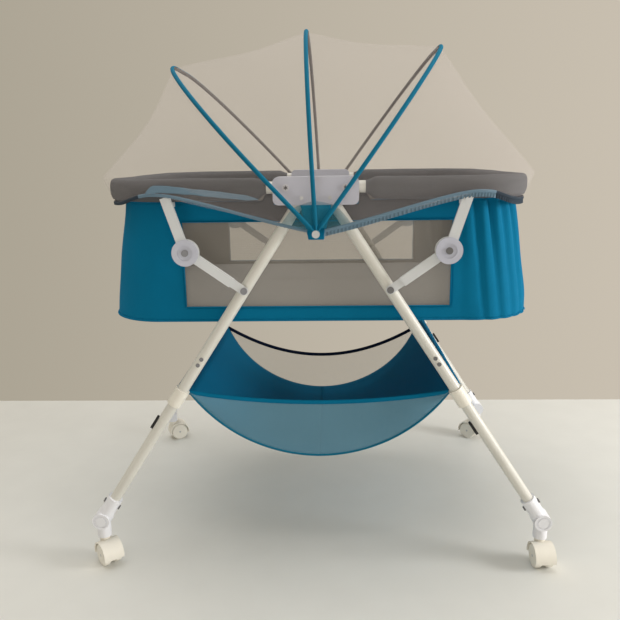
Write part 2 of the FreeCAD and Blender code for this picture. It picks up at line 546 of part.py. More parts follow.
def make_braces(side, sx):
    """Two-bar braces from leg to rail with a round ratchet elbow."""
    lowers = []
    uppers = []
    caps = []
    screws = []
    for end, sy in ENDS:
        name = "%s_%s" % (side, end)
        outward = V(0, sy, 0)
        bolt = leg_point(sx, sy, S["brace_bolt_at"])
        elbow = at(sx, sy, S["elbow_x"], PLANE, S["elbow_z"])
        pin = at(sx, sy, S["brace_pin_x"], PLANE, S["brace_pin_z"])
        to_elbow = (elbow - bolt).normalize()
        to_pin = (pin - elbow).normalize()
        lower_length = elbow.distanceToPoint(bolt)
        upper_length = elbow.distanceToPoint(pin)

        tongue = bar(name + "_tongue", bolt, to_elbow, outward, ARM_BACK, "tongue_width", "tongue_thickness",
                     "tongue_length")
        eye_start = V(bolt.x, sy * ARM_BACK, bolt.z)
        eye = rod(name + "_tongue_eye", eye_start, outward, "tongue_width / 2", "tongue_thickness")
        bar_start = bolt + to_elbow * (S["tongue_length"] - S["tongue_width"] / 2)
        shank = bar(name + "_lower_bar", bar_start, to_elbow, outward, ARM_BACK, "arm_width", "arm_thickness",
                    "%g - tongue_length + tongue_width / 2" % lower_length)
        disc = rod(name + "_lower_disc", V(elbow.x, sy * ARM_BACK, elbow.z), outward, "elbow_diameter / 2",
                   "arm_thickness")
        bolt_hole = rod(name + "_lower_bolt_hole", eye_start - outward, outward,
                        "bolt_diameter / 2 + running_clearance", "arm_thickness + 2")
        elbow_hole = rod(name + "_lower_elbow_hole", V(elbow.x, sy * (ARM_BACK - 1), elbow.z), outward,
                         "bolt_diameter / 2 + running_clearance", "arm_thickness + 2")
        lowers.append(cut(name + "_lower_arm", fuse(name + "_lower_solid", tongue, eye, shank, disc),
                          bolt_hole, elbow_hole))

        shank = bar(name + "_upper_bar", elbow, to_pin, outward, UPPER_ARM_BACK, "arm_width", "arm_thickness",
                    "%g + arm_width / 2" % upper_length)
        disc = rod(name + "_upper_disc", V(elbow.x, sy * UPPER_ARM_BACK, elbow.z), outward, "elbow_diameter / 2",
                   "arm_thickness")
        rivet = rod(name + "_upper_rivet", V(pin.x, sy * (UPPER_ARM_BACK + S["arm_thickness"]), pin.z), outward,
                    "rivet_head_diameter / 2", "rivet_head")
        elbow_hole = rod(name + "_upper_elbow_hole", V(elbow.x, sy * (UPPER_ARM_BACK - 1), elbow.z), outward,
                         "bolt_diameter / 2", "arm_thickness + 2")
        uppers.append(cut(name + "_upper_arm", fuse(name + "_upper_solid", shank, disc, rivet), elbow_hole))

        cap_back = UPPER_ARM_BACK + S["arm_thickness"]
        cap_front = cap_back + S["elbow_cap"] - S["elbow_recess"]
        disc = rod(name + "_cap_disc", V(elbow.x, sy * cap_back, elbow.z), outward, "elbow_diameter / 2", "elbow_cap")
        recess = rod(name + "_cap_recess", V(elbow.x, sy * cap_front, elbow.z), outward,
                     "elbow_recess_diameter / 2", "elbow_recess + 1")
        screw_room = rod(name + "_cap_hole", V(elbow.x, sy * (cap_back - 1), elbow.z), outward, "bolt_diameter / 2",
                         "elbow_cap + 2")
        caps.append(cut(name + "_elbow_cap", disc, recess, screw_room))
        shaft = rod(name + "_elbow_shaft", V(elbow.x, sy * ARM_BACK, elbow.z), outward, "bolt_diameter / 2",
                    "2 * arm_thickness + arm_gap + elbow_cap - elbow_recess")
        head = rod(name + "_elbow_head", V(elbow.x, sy * cap_front, elbow.z), outward, "bolt_head_diameter / 2",
                   "bolt_head")
        screws.append(fuse(name + "_elbow_screw", shaft, head))
    keep(group(side + "_lower_arms", *lowers), side + "_lower_arms")
    keep(group(side + "_upper_arms", *uppers), side + "_upper_arms")
    keep(group(side + "_elbow_caps", *caps), side + "_elbow_caps")
    keep(group(side + "_elbow_screws", *screws), side + "_elbow_screws")


def crib_ring(inset, z):
    """Rounded outline of the crib at one level; its ends lean outwards towards the floor."""
    rise = (z - S["crib_bottom"]) / (CRIB_TOP - S["crib_bottom"])
    long_half = S["crib_half_length"] - S["crib_flare"] * rise - inset
    wide_half = CRIB_HALF_WIDTH - inset
    corner = S["crib_corner"] - inset
    bulge = corner * (1 - math.sqrt(0.5))
    points = [V(long_half - corner, -wide_half, z)]
    for sx, sy in ((1, -1), (1, 1), (-1, 1), (-1, -1)):
        on_x_side = V(sx * (long_half - corner), sy * wide_half, z)
        on_y_side = V(sx * long_half, sy * (wide_half - corner), z)
        knee = V(sx * (long_half - bulge), sy * (wide_half - bulge), z)
        if sx * sy < 0:
            points.append((knee, on_y_side))
            points.append(V(sx * long_half, -sy * (wide_half - corner), z))
        else:
            points.append((knee, on_x_side))
            points.append(V(-sx * (long_half - corner), sy * wide_half, z))
    return wire(points)


def make_crib():
    """Hanging fabric crib with a mesh window in each long side."""
    wall = S["crib_wall"]
    floor = S["crib_bottom"] + S["crib_floor"]
    outside = shaped("crib_outside", Part.makeLoft([crib_ring(0, S["crib_bottom"]), crib_ring(0, CRIB_TOP)], True, True))
    inside = shaped("crib_inside", Part.makeLoft([crib_ring(wall, floor), crib_ring(wall, CRIB_TOP + wall)], True, True))
    openings = []
    for end, sy in ENDS:
        corner = V(-S["window_half_length"], sy * CRIB_HALF_WIDTH - 2 * wall, S["window_bottom"])
        openings.append(primitive("Box", end + "_window_opening", FreeCAD.Placement(corner, FreeCAD.Rotation()),
                                  Length="2 * window_half_length", Width="4 * crib_wall",
                                  Height="window_top - window_bottom"))
        gap = S["face_clearance"]
        middle = sy * (CRIB_HALF_WIDTH - wall / 2) - S["mesh_thickness"] / 2
        corner = V(-S["window_half_length"] + gap, middle, S["window_bottom"] + gap)
        keep(primitive("Box", end + "_window_mesh", FreeCAD.Placement(corner, FreeCAD.Rotation()),
                       Length="2 * window_half_length - 2 * face_clearance", Width="mesh_thickness",
                       Height="window_top - window_bottom - 2 * face_clearance"), end + "_window_mesh")
    keep(cut("crib_shell", outside, inside, *openings), "crib_shell")


def pad_outline(inset, z):
    """Outline of the mattress at one level, with sides drawn in between its corners."""
    long_half = S["crib_half_length"] - S["crib_wall"] - S["pad_edge_gap"] - inset
    wide_half = CRIB_HALF_WIDTH - S["crib_wall"] - S["pad_edge_gap"] - inset
    corner = S["crib_corner"] - S["crib_wall"] - inset / 2
    bulge = corner * (1 - math.sqrt(0.5))
    draw = S["pad_draw_in"]
    points = [V(long_half - corner, -wide_half, z)]
    for sx, sy in ((1, -1), (1, 1), (-1, 1), (-1, -1)):
        on_x_side = V(sx * (long_half - corner), sy * wide_half, z)
        on_y_side = V(sx * long_half, sy * (wide_half - corner), z)
        knee = V(sx * (long_half - bulge), sy * (wide_half - bulge), z)
        if sx * sy < 0:
            points.append((knee, on_y_side))
            points.append((V(sx * (long_half - draw), 0, z), V(sx * long_half, -sy * (wide_half - corner), z)))
        else:
            points.append((knee, on_x_side))
            points.append((V(0, sy * (wide_half - draw), z), V(-sx * (long_half - corner), sy * wide_half, z)))
    return wire(points)


def make_mattress():
    """Thin crowned mattress pad on the crib floor."""
    base = S["crib_bottom"] + S["crib_floor"] + S["face_clearance"]
    height = S["pad_height"]
    levels = ((4, 0), (0, 0.3), (2, 0.6), (24, 0.88), (70, 1.0))
    sections = [pad_outline(inset, base + share * height) for inset, share in levels]
    keep(shaped("mattress_pad", Part.makeLoft(sections, True, True)), "mattress_pad")


def fan_point(tilt, across, reach):
    """Point in the plane through the net's pivot line at a tilt from upright."""
    angle = math.radians(tilt)
    return V(reach * math.sin(angle), across, S["net_pivot_z"] + reach * math.cos(angle))


def arch_points(tilt, half_width, reach, corner, start):
    """Arch from front to back in a tilted plane: straight sides, round shoulders and a flat crown."""
    bulge = corner * (1 - math.sqrt(0.5))
    return [
        fan_point(tilt, -half_width, start),
        fan_point(tilt, -half_width, reach - corner),
        (fan_point(tilt, -half_width + bulge, reach - bulge), fan_point(tilt, -half_width + corner, reach)),
        fan_point(tilt, half_width - corner, reach),
        (fan_point(tilt, half_width - bulge, reach - bulge), fan_point(tilt, half_width, reach - corner)),
        fan_point(tilt, half_width, start),
    ]


def net_section(tilt, half_width, reach, corner):
    """Closed strip as thick as the net along one arch."""
    thick = S["net_thickness"]
    outer = arch_points(tilt, half_width, reach, corner, S["net_start"])
    inner = arch_points(tilt, half_width - thick, reach - thick, corner - thick, S["net_start"])
    back = [inner[5], inner[4][1], (inner[4][0], inner[3]), inner[2][1], (inner[2][0], inner[1]), inner[0]]
    return wire(outer + back + [outer[0]])


def hoop_list():
    """Name, tilt, half width and reach of each hoop; the eyes stack outwards on the pivot pins."""
    pitch = S["hoop_eye_width"] + S["hoop_gap"]
    wide = S["hoop_half_width"]
    return (
        ("left_hoop", S["left_hoop_tilt"], wide, S["outer_hoop_reach"]),
        ("middle_hoop", S["middle_hoop_tilt"], wide - pitch, S["middle_hoop_reach"]),
        ("right_hoop", S["right_hoop_tilt"], wide - 2 * pitch, S["outer_hoop_reach"]),
    )


def make_hoops():
    """Three sprung hoops with an eye at each end."""
    for name, tilt, half_width, reach in hoop_list():
        start = S["hoop_eye_diameter"] / 2 - 1
        path = shaped(name + "_path", wire(arch_points(tilt, half_width, reach, S["hoop_corner"], start)))
        up = fan_point(tilt, 0, 1) - fan_point(tilt, 0, 0)
        ring = circle(name + "_ring", fan_point(tilt, -half_width, start), up, "hoop_diameter / 2")
        bow = sweep(name + "_bow", ring, path)
        eyes = []
        holes = []
        for end, sy in ENDS:
            low = V(0, sy * half_width - S["hoop_eye_width"] / 2, S["net_pivot_z"])
            eyes.append(rod("%s_%s_eye" % (name, end), low, Y_AXIS, "hoop_eye_diameter / 2", "hoop_eye_width"))
            holes.append(rod("%s_%s_eye_hole" % (name, end), low - Y_AXIS, Y_AXIS,
                             "hoop_pin_diameter / 2 + running_clearance", "hoop_eye_width + 2"))
        keep(cut(name, fuse(name + "_solid", bow, *eyes), *holes), name)


def make_net():
    """Net in four lofted spans from rail end to rail end, each sagging between its hoops."""
    inset = S["hoop_diameter"] / 2 + S["net_gap"]
    stops = [(-NET_END_TILT, S["net_end_half_width"], NET_END_REACH, S["net_end_corner"])]
    for name, tilt, half_width, reach in hoop_list():
        stops.append((tilt, half_width - inset, reach - inset, S["hoop_corner"] - inset))
    stops.append((NET_END_TILT, S["net_end_half_width"], NET_END_REACH, S["net_end_corner"]))
    spans = []
    for number, (first, last) in enumerate(zip(stops, stops[1:])):
        sections = []
        for step in range(NET_STEPS + 1):
            share = step / NET_STEPS
            tilt, half_width, reach, corner = [a + share * (b - a) for a, b in zip(first, last)]
            sections.append(net_section(tilt, half_width, reach - S["net_sag"] * math.sin(math.pi * share), corner))
        spans.append(shaped("net_span_%d" % number, Part.makeLoft(sections, True, True)))
    keep(group("mosquito_net", *spans), "mosquito_net")


def make_net_pivots():
    """Fabric gussets below the brackets and the pins that carry the hoop eyes."""
    gussets = []
    pins = []
    front = PLANE + PLATE_INNER + S["face_clearance"]
    half = S["gusset_half_width"]
    top = S["bracket_bottom"]
    point = S["net_pivot_z"] - S["gusset_drop"]
    for end, sy in ENDS:
        outline = wire([V(-half, sy * front, top), V(half, sy * front, top), V(S["gusset_drop"], sy * front, point),
                        V(-S["gusset_drop"], sy * front, point), V(-half, sy * front, top)])
        plate = Part.Face(outline).extrude(V(0, sy * S["gusset_thickness"], 0))
        gussets.append(shaped(end + "_gusset", plate))
        base = V(0, sy * (front + S["gusset_thickness"]), S["net_pivot_z"])
        length = "hoop_half_width + hoop_eye_width / 2 + hoop_gap - (frame_half_width + tube_diameter / 2" \
                 " + bracket_side_gap + face_clearance + gusset_thickness)"
        shaft = rod(end + "_net_pin_shaft", base, V(0, sy, 0), "hoop_pin_diameter / 2", length)
        outer = sy * (S["hoop_half_width"] + S["hoop_eye_width"] / 2 + S["hoop_gap"])
        head = rod(end + "_net_pin_head", V(0, outer, S["net_pivot_z"]), V(0, sy, 0), "hoop_eye_diameter / 2",
                   "bolt_head")
        pins.append(fuse(end + "_net_pin", shaft, head))
    keep(group("net_gussets", *gussets), "net_gussets")
    keep(group("net_pivot_pins", *pins), "net_pivot_pins")


def make_basket():
    """Sling between the cross tubes, hemmed around them, with a mesh wall at front and back."""
    half = S["basket_half_width"]
    thick = S["basket_thickness"]
    sleeve_inner = TUBE_R + S["face_clearance"]
    sleeve_outer = sleeve_inner + S["basket_hem"]
    edge = BASKET_X - sleeve_inner
    rim = BASKET_Z - S["basket_rim_below"]
    low = rim - S["basket_sag"]
    outline = wire([V(-edge, -half, rim), (V(0, -half, low), V(edge, -half, rim)), V(edge - thick, -half, rim + thick),
                    (V(0, -half, low + thick), V(thick - edge, -half, rim + thick)), V(-edge, -half, rim)])
    cloth = shaped("sling_cloth", Part.Face(outline).extrude(V(0, 2 * half, 0)))
    hems = []
    rooms = []
    for side, sx in SIDES:
        start = V(sx * BASKET_X, -half, BASKET_Z)
        hems.append(rod(side + "_hem", start, Y_AXIS, "tube_diameter / 2 + face_clearance + basket_hem",
                        "2 * basket_half_width"))
        rooms.append(rod(side + "_hem_room", start - Y_AXIS, Y_AXIS, "tube_diameter / 2 + face_clearance",
                         "2 * basket_half_width + 2"))
    keep(cut("basket_sling", fuse("sling_solid", cloth, *hems), *rooms), "basket_sling")

    inner_edge = edge - thick
    radius = (inner_edge ** 2 + S["basket_sag"] ** 2) / (2 * S["basket_sag"])
    centre_z = low + thick + radius
    wall_radius = radius - S["face_clearance"]
    chord = edge - thick - sleeve_outer / 2
    walls = []
    for end, sy in ENDS:
        across = sy * (half - S["mesh_thickness"])
        wall_top = centre_z - math.sqrt(wall_radius ** 2 - chord ** 2)
        start = V(-chord, across, wall_top)
        end_point = V(chord, across, wall_top)
        face = Part.Face(wire([start, (V(0, across, centre_z - wall_radius), end_point), start]))
        walls.append(shaped(end + "_basket_wall", face.extrude(V(0, sy * S["mesh_thickness"], 0))))
    keep(group("basket_mesh_walls", *walls), "basket_mesh_walls")


for end_name, end_sign in ENDS:
    make_bracket(end_name, end_sign)
make_pivot_set("rail_pivot_bolts", S["rail_pivot_x"], S["rail_height"], "bolt_head_diameter / 2")
make_pivot_set("leg_pivot_pins", S["leg_pivot_x"], S["leg_pivot_z"], "bolt_diameter / 2")
for side_name, side_sign in SIDES:
    make_rail(side_name, side_sign)
    make_leg_tubes(side_name, side_sign)
    make_feet(side_name, side_sign)
    make_braces(side_name, side_sign)
    for end_name, end_sign in ENDS:
        make_castor(side_name, side_sign, end_name, end_sign)
make_crib()
make_mattress()
make_hoops()
make_net()
make_net_pivots()
make_basket()
doc.recompute()

failed = [item.Name for item in doc.Objects if "Invalid" in item.State or "Error" in item.State]
if failed:
    raise RuntimeError("failed objects: " + ", ".join(failed))
for item in kept:
    if item.Shape.isNull() or not item.Shape.isValid() or not item.Shape.Solids:
        raise RuntimeError("bad shape: " + item.Label)
os.makedirs("parts", exist_ok=True)
for item in kept:
    item.Shape.exportStep(os.path.join("parts", item.Label + ".step"))
print(len(kept), "sub-parts written")
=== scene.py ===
import bpy
import math
from mathutils import Matrix, Vector, noise


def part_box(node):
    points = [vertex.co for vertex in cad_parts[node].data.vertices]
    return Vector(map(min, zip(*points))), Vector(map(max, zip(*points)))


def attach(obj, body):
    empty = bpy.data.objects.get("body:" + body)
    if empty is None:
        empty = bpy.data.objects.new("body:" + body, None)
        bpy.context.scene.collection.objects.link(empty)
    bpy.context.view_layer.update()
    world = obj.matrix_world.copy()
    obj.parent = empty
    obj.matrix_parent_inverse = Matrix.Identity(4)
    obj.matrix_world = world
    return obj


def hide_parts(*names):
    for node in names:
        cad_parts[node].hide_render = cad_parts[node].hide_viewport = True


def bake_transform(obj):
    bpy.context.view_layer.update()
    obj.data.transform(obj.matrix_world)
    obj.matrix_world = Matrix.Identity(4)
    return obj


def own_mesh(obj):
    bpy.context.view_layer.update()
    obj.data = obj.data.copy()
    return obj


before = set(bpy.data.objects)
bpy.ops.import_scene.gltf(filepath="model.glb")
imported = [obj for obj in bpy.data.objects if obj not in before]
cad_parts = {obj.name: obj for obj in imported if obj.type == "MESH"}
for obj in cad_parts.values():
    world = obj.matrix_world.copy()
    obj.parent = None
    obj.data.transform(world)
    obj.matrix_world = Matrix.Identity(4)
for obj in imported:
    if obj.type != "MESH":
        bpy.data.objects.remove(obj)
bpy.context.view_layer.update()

# Lengths are in metres and tilts in degrees. Widths and lengths of the bed are half of the whole.
# A pair is where a form begins and where it is full or, for a cord, its half width and half height.

# Rails and their padding
PLANE = 0.258
RAIL_Z = 0.660
RAIL_END = 0.340
RAIL_CORNER = 0.095
COVER_START = 0.0775
COVER_FULL = 0.096
COVER_BARE = 0.0098
COVER_WIDE = 0.0014
COVER_ABOVE = 0.0060
COVER_BELOW = 0.0110
COVER_SQUARE = 0.7
COVER_SIDES = 28
COVER_STEPS = 260
BUNCH_PITCH = 0.030
BUNCH_ENDS = (0.22, 0.30)

# Brackets and their screws
BOLT_X = 0.0465
STAR_TURNS = (90, 30, 150)
STAR_REACH = 0.0036
STAR_HALF = 0.0006
STAR_RISE = 0.00025
BOX_FACES = ((0, 1, 2, 3), (7, 6, 5, 4), (0, 4, 5, 1), (1, 5, 6, 2), (2, 6, 7, 3), (3, 7, 4, 0))
BRACKET_X = 0.0695
BRACKET_LOW = 0.632

# Crib
CRIB_LENGTH = 0.357
CRIB_FLARE = 0.026
CRIB_WIDTH = 0.2445
CRIB_CORNER = 0.095
CRIB_TOP = 0.6387
CRIB_BOTTOM = 0.440
CRIB_THICK = 0.0024
WINDOW_X = 0.218
WINDOW_LOW = 0.465
WINDOW_HIGH = 0.606
BESIDE_STEPS = 8
WINDOW_STEPS = 44
ARC_STEPS = 36
END_STEPS = 72
BAND_LEVELS = 6
WINDOW_LEVELS = 24
RIGHT_BELLY = 0.007
LEFT_BELLY = 0.003
RIGHT_ENDS = (0.222, 0.262)
LEFT_ENDS = (0.27, 0.34)
RIGHT_GATHER = 0.0064
LEFT_GATHER = 0.0006
PLEAT_PITCH = 0.026
# Furthest that the cloth stands out of the long sides, which the brackets are near, and of the ends
SIDE_X = 0.225
SIDE_LIMIT = 0.0018
END_LIMIT = 0.03
# Share of the outline and rise of each ring under the floor
FLOOR_RINGS = ((0.985, 0.0003), (0.93, 0.0), (0.6, 0.0018), (0.2, 0.0018), (0.01, 0.0018))
PIPING = (0.0018, 0.0018)
PIPING_SHARE = 1.0005
PIPING_RISE = 0.002

# Windows and the grey cloth above them
PANE_LAP = 0.004
PANE_INSET = 0.0036
PANE_SLACK = 0.002
PANE_STEPS = 48
PANE_LEVELS = 18
BINDING = (0.0010, 0.0028)
BINDING_OUT = 0.0002
BINDING_STEPS = 40
BINDING_LEVELS = 14
VALANCE_X = 0.186
VALANCE_LOW = 0.5885
VALANCE_SLOPE = 0.266
VALANCE_LEAST = 0.001
VALANCE_RISE = 0.0115
VALANCE_FALL = (0.078, 0.088)
VALANCE_OUT = 0.0024
VALANCE_THICK = 0.0008
VALANCE_STEPS = 160
VALANCE_LEVELS = 6

# Mattress, with the inset and rise of each ring
PAD_BASE = 0.4423
PAD_LENGTH = 0.3455
PAD_WIDTH = 0.2330
PAD_CORNER = 0.09
PAD_RINGS = ((0.012, 0.0), (0.003, 0.002), (0.0, 0.007), (0.001, 0.012), (0.006, 0.0165), (0.016, 0.0195),
             (0.035, 0.0215), (0.06, 0.0228), (0.1, 0.0236), (0.16, 0.024), (0.232, 0.024))
PAD_LEAST = 0.0002
PAD_STEPS = 40
PAD_ARC = 12
PAD_ENDS = 24

# Net and hoops: tilt, half width, reach and, for the net's ends, corner
PIVOT_Z = 0.591
HOOP_CORNER = 0.260
HOOPS = {"left_hoop": (-43.0, 0.2985, 0.375), "middle_hoop": (-3.0, 0.293, 0.333),
         "right_hoop": (36.0, 0.2875, 0.375)}
HOOP_START = 0.012
HOOP_STEPS = 130
TAPE = (0.0032, 0.0036)
STRAND_SIDES = 10
TAPE_BACK_SIDES = (0, 1, 8, 9)
NET_INSET = 0.00265
NET_END = (76.5, 0.284, 0.371, 0.118)
NET_SAG = 0.028
NET_START = 0.014
NET_STEPS = 16
ACROSS = 140
PIVOT_STEPS = 5
SKIRTS = {"net_left_skirt": "left", "net_right_skirt": "right"}

# Hems, frills and ribbon of the net
HEM_Z = 0.6365
HEM_DOWN = (0.20, 0.345)
HEM_IN_X = 0.045
HEM_IN_Y = 0.008
HEM_LIFT = 0.005
HEM_LIFT_ON = (0.04, 0.20)
HEM_LIFT_OFF = (0.27, 0.335)
HEM_SHARES = (0.25, 0.5, 0.75, 1.0)
HEM_CORD = (0.0012, 0.0026)
# Beyond this the hem and frill turn darker: painted shade under the ends of the rail covers.
HEM_TURN = 0.275
FRILL_DROP = {"left": 0.003, "right": 0.009}
FRILL_PLEAT = 0.0016
FRILL_TURN = 1.46
FRILL_IN = 0.010
FRILL_SHARES = (0.0, 0.5, 1.0)
FRILL_DENSE = 6
RIBBON_X = -0.262
RIBBON_Y = -0.2860
RIBBON_Z = 0.6435
RIBBON_LENGTH = 0.174
RIBBON_RISE = 0.0205
RIBBON_CURL = 0.010
RIBBON_HALF = 0.0058
RIBBON_TAPER = 0.0020
RIBBON_THICK = 0.0006
RIBBON_STEPS = 60
RIBBON_LEVELS = 6

# Gussets between bracket and pivot, with the half width and the height of both edges
GUSSET_TOP = (0.024, 0.633)
GUSSET_FOOT = (0.012, 0.579)
GUSSET_Y = 0.2693
GUSSET_BULGE = 0.0012
GUSSET_THICK = 0.0015
GUSSET_LEVELS = 8
GUSSET_STEPS = 10

# Basket
BASKET_X = 0.2381
BASKET_Z = 0.3122
BASKET_HALF = 0.222
BASKET_EDGE_Z = 0.308
SLING_EDGE = 0.2283
SLING_THICK = 0.0018
SLING_STEPS = 30
SLING_ROWS = 36
FRONT_SAG = 0.121
BACK_SAG = 0.156
RIM_DROP = 0.002
FRONT_RIM_SAG = 0.019
BACK_RIM_SAG = 0.070
RIM = (0.0016, 0.0040)
SEAM = (0.0020, 0.0020)
WALL_INSET = 0.0005
WALL_BULGE = 0.002
WALL_LEAST = 0.0005
WALL_LEVELS = 12
SLEEVE_RADIUS = 0.0108
SLEEVE_STEPS = 60
SLEEVE_SIDES = 20

# Stage and camera
FLOOR_REACH = 4
FLOOR_BACK = 0.52
WALL_LEFT = (0.415, 0.375, 0.300)
WALL_RIGHT = (0.590, 0.530, 0.440)
WALL_SPAN = 0.45
CAMERA_PLACE = (0.02184, -1.28128, 0.7068)
CAMERA_YAW = 1.89
CAMERA_PITCH = 13.44
CAMERA_ROLL = -0.84
FOCAL_PIXELS = 643
PHOTO_PIXELS = 620
SENSOR_WIDTH = 36

# Finishes: noise scales per metre, depths of relief and cloth gloss
MOTTLE_SCALE = 14.0
GLOSS_SCALE = 45.0
DYE_SCALE = 9.0
FIBRE_SCALE = 320.0
FUZZ_SCALE = 260.0
PATCH_SCALE = 6.0
THREAD_SCALE = 20.0
PAINT_DEPTH = 0.0004
WEAVE_DEPTH = 0.0005
MESH_DEPTH = 0.0003
WEAVE_RELIEF = 0.35
MESH_RELIEF = 0.2
CLOTH_ROUGH = 0.85
SHEEN_ROUGH = 0.5
SHEEN_TINT = 2.0
MOTTLING = 0.16
MESH_ROUGH = 0.8
MESH_SHARPNESS = 6.0


# Materials

def shader(name):
    """New material with its node tree and main shader."""
    material = bpy.data.materials.new(name)
    material.use_nodes = True
    tree = material.node_tree
    return material, tree, tree.nodes["Principled BSDF"]


def node(tree, kind, **inputs):
    """New node with some inputs set."""
    item = tree.nodes.new(kind)
    for key, value in inputs.items():
        item.inputs[key.replace("_", " ")].default_value = value
    return item


def maths(tree, operation, first, second=None):
    """Maths node fed by sockets or numbers."""
    item = tree.nodes.new("ShaderNodeMath")
    item.operation = operation
    for index, value in enumerate((first, second)):
        if value is None:
            continue
        if hasattr(value, "links"):
            tree.links.new(value, item.inputs[index])
        else:
            item.inputs[index].default_value = value
    return item.outputs[0]


def spread(tree, factor, low, high, first=0.0, last=1.0):
    """Number that runs from low to high as a factor runs from first to last."""
    item = tree.nodes.new("ShaderNodeMapRange")
    tree.links.new(factor, item.inputs["Value"])
    item.inputs["From Min"].default_value = first
    item.inputs["From Max"].default_value = last
    item.inputs["To Min"].default_value = low
    item.inputs["To Max"].default_value = high
    return item.outputs["Result"]


def tint(tree, factor, dark, light):
    """Colour between two with a factor."""
    item = tree.nodes.new("ShaderNodeMix")
    item.data_type = "RGBA"
    tree.links.new(factor, item.inputs["Factor"])
    item.inputs["A"].default_value = (*dark, 1)
    item.inputs["B"].default_value = (*light, 1)
    return item.outputs["Result"]


def scaled(colour, share):
    """Colour made darker or lighter."""
    return tuple(min(1.0, c * share) for c in colour)


def clouds(tree, scale, detail=4.0):
    """Noise factor in object space."""
    place = tree.nodes.new("ShaderNodeTexCoord")
    item = node(tree, "ShaderNodeTexNoise", Scale=scale, Detail=detail)
    tree.links.new(place.outputs["Object"], item.inputs["Vector"])
    return item.outputs["Fac"]


def add_bump(tree, main, height, strength, distance):
    """Surface relief from a height."""
    item = node(tree, "ShaderNodeBump", Strength=strength, Distance=distance)
    tree.links.new(height, item.inputs["Height"])
    tree.links.new(item.outputs["Normal"], main.inputs["Normal"])


def hard_material(name, colour, rough, metal=0.0, grain=700.0, relief=0.08, soil=0.10):
    """Paint, plastic or metal with slight mottling, fine grain and uneven gloss."""
    material, tree, main = shader(name)
    broad = clouds(tree, MOTTLE_SCALE)
    fine = clouds(tree, grain, detail=2.0)
    paint = tint(tree, broad, scaled(colour, 1 - soil), scaled(colour, 1 + soil * 0.5))
    gloss = spread(tree, clouds(tree, GLOSS_SCALE), rough * 0.8, rough * 1.25)
    tree.links.new(paint, main.inputs["Base Color"])
    tree.links.new(gloss, main.inputs["Roughness"])
    main.inputs["Metallic"].default_value = metal
    add_bump(tree, main, fine, relief, PAINT_DEPTH)
    return material


def threads(tree, pitch):
    """Warp and weft waves over the cloth's own length and width."""
    place = tree.nodes.new("ShaderNodeUVMap")
    parts = tree.nodes.new("ShaderNodeSeparateXYZ")
    tree.links.new(place.outputs["UV"], parts.inputs["Vector"])
    across = maths(tree, "SINE", maths(tree, "MULTIPLY", parts.outputs["X"], 2 * math.pi / pitch))
    down = maths(tree, "SINE", maths(tree, "MULTIPLY", parts.outputs["Y"], 2 * math.pi / pitch))
    return across, down


def cloth_material(name, colour, pitch=0.0016, sheen=0.06, gloss=0.2):
    """Woven cloth with threads, soft sheen and uneven dye."""
    material, tree, main = shader(name)
    across, down = threads(tree, pitch)
    weave = maths(tree, "ADD", maths(tree, "MULTIPLY", across, down), clouds(tree, FUZZ_SCALE, detail=2.0))
    dye = maths(tree, "ADD", maths(tree, "MULTIPLY", clouds(tree, DYE_SCALE), 0.7),
                maths(tree, "MULTIPLY", clouds(tree, FIBRE_SCALE, detail=2.0), 0.3))
    dyed = tint(tree, dye, scaled(colour, 1 - MOTTLING), scaled(colour, 1 + MOTTLING))
    tree.links.new(dyed, main.inputs["Base Color"])
    main.inputs["Roughness"].default_value = CLOTH_ROUGH
    main.inputs["Sheen Weight"].default_value = sheen
    main.inputs["Sheen Roughness"].default_value = SHEEN_ROUGH
    main.inputs["Sheen Tint"].default_value = (*scaled(colour, SHEEN_TINT), 1)
    main.inputs["Specular IOR Level"].default_value = gloss
    add_bump(tree, main, weave, WEAVE_RELIEF, WEAVE_DEPTH)
    return material


def mesh_material(name, colour, pitch, thin, thick):
    """Open mesh: threads that cover part of what is behind them."""
    material, tree, main = shader(name)
    across, down = threads(tree, pitch)
    lines = maths(tree, "MAXIMUM", maths(tree, "ABSOLUTE", across), maths(tree, "ABSOLUTE", down))
    sharp = maths(tree, "POWER", lines, MESH_SHARPNESS)
    uneven = maths(tree, "MULTIPLY", sharp, spread(tree, clouds(tree, PATCH_SCALE), 0.85, 1.15))
    yarn = tint(tree, clouds(tree, THREAD_SCALE), scaled(colour, 0.92), scaled(colour, 1.04))
    tree.links.new(spread(tree, uneven, thin, thick), main.inputs["Alpha"])
    tree.links.new(yarn, main.inputs["Base Color"])
    main.inputs["Roughness"].default_value = MESH_ROUGH
    add_bump(tree, main, sharp, MESH_RELIEF, MESH_DEPTH)
    return material


PAINT = hard_material("cream_paint", (0.70, 0.69, 0.64), rough=0.32, grain=500.0, relief=0.05)
WHITE_PAINT = hard_material("white_paint", (0.66, 0.68, 0.70), rough=0.34, relief=0.05)
# The bracket and elbow caps are white plastic, drawn darker and bluer than white: painted shade, for the shade
# they stand in.
SHADED_WHITE = hard_material("white_plastic", (0.53, 0.545, 0.64), rough=0.42)
CREAM = hard_material("cream_plastic", (0.84, 0.81, 0.73), rough=0.45)
FOOT = hard_material("foot_plastic", (0.84, 0.85, 0.90), rough=0.42)
STEEL = hard_material("plated_steel", (0.56, 0.57, 0.58), rough=0.30, metal=1.0, soil=0.15)
ZINC = hard_material("pale_zinc", (0.62, 0.62, 0.67), rough=0.45, metal=0.2)
RIVET = hard_material("rivet_steel", (0.20, 0.20, 0.21), rough=0.38, metal=0.8)
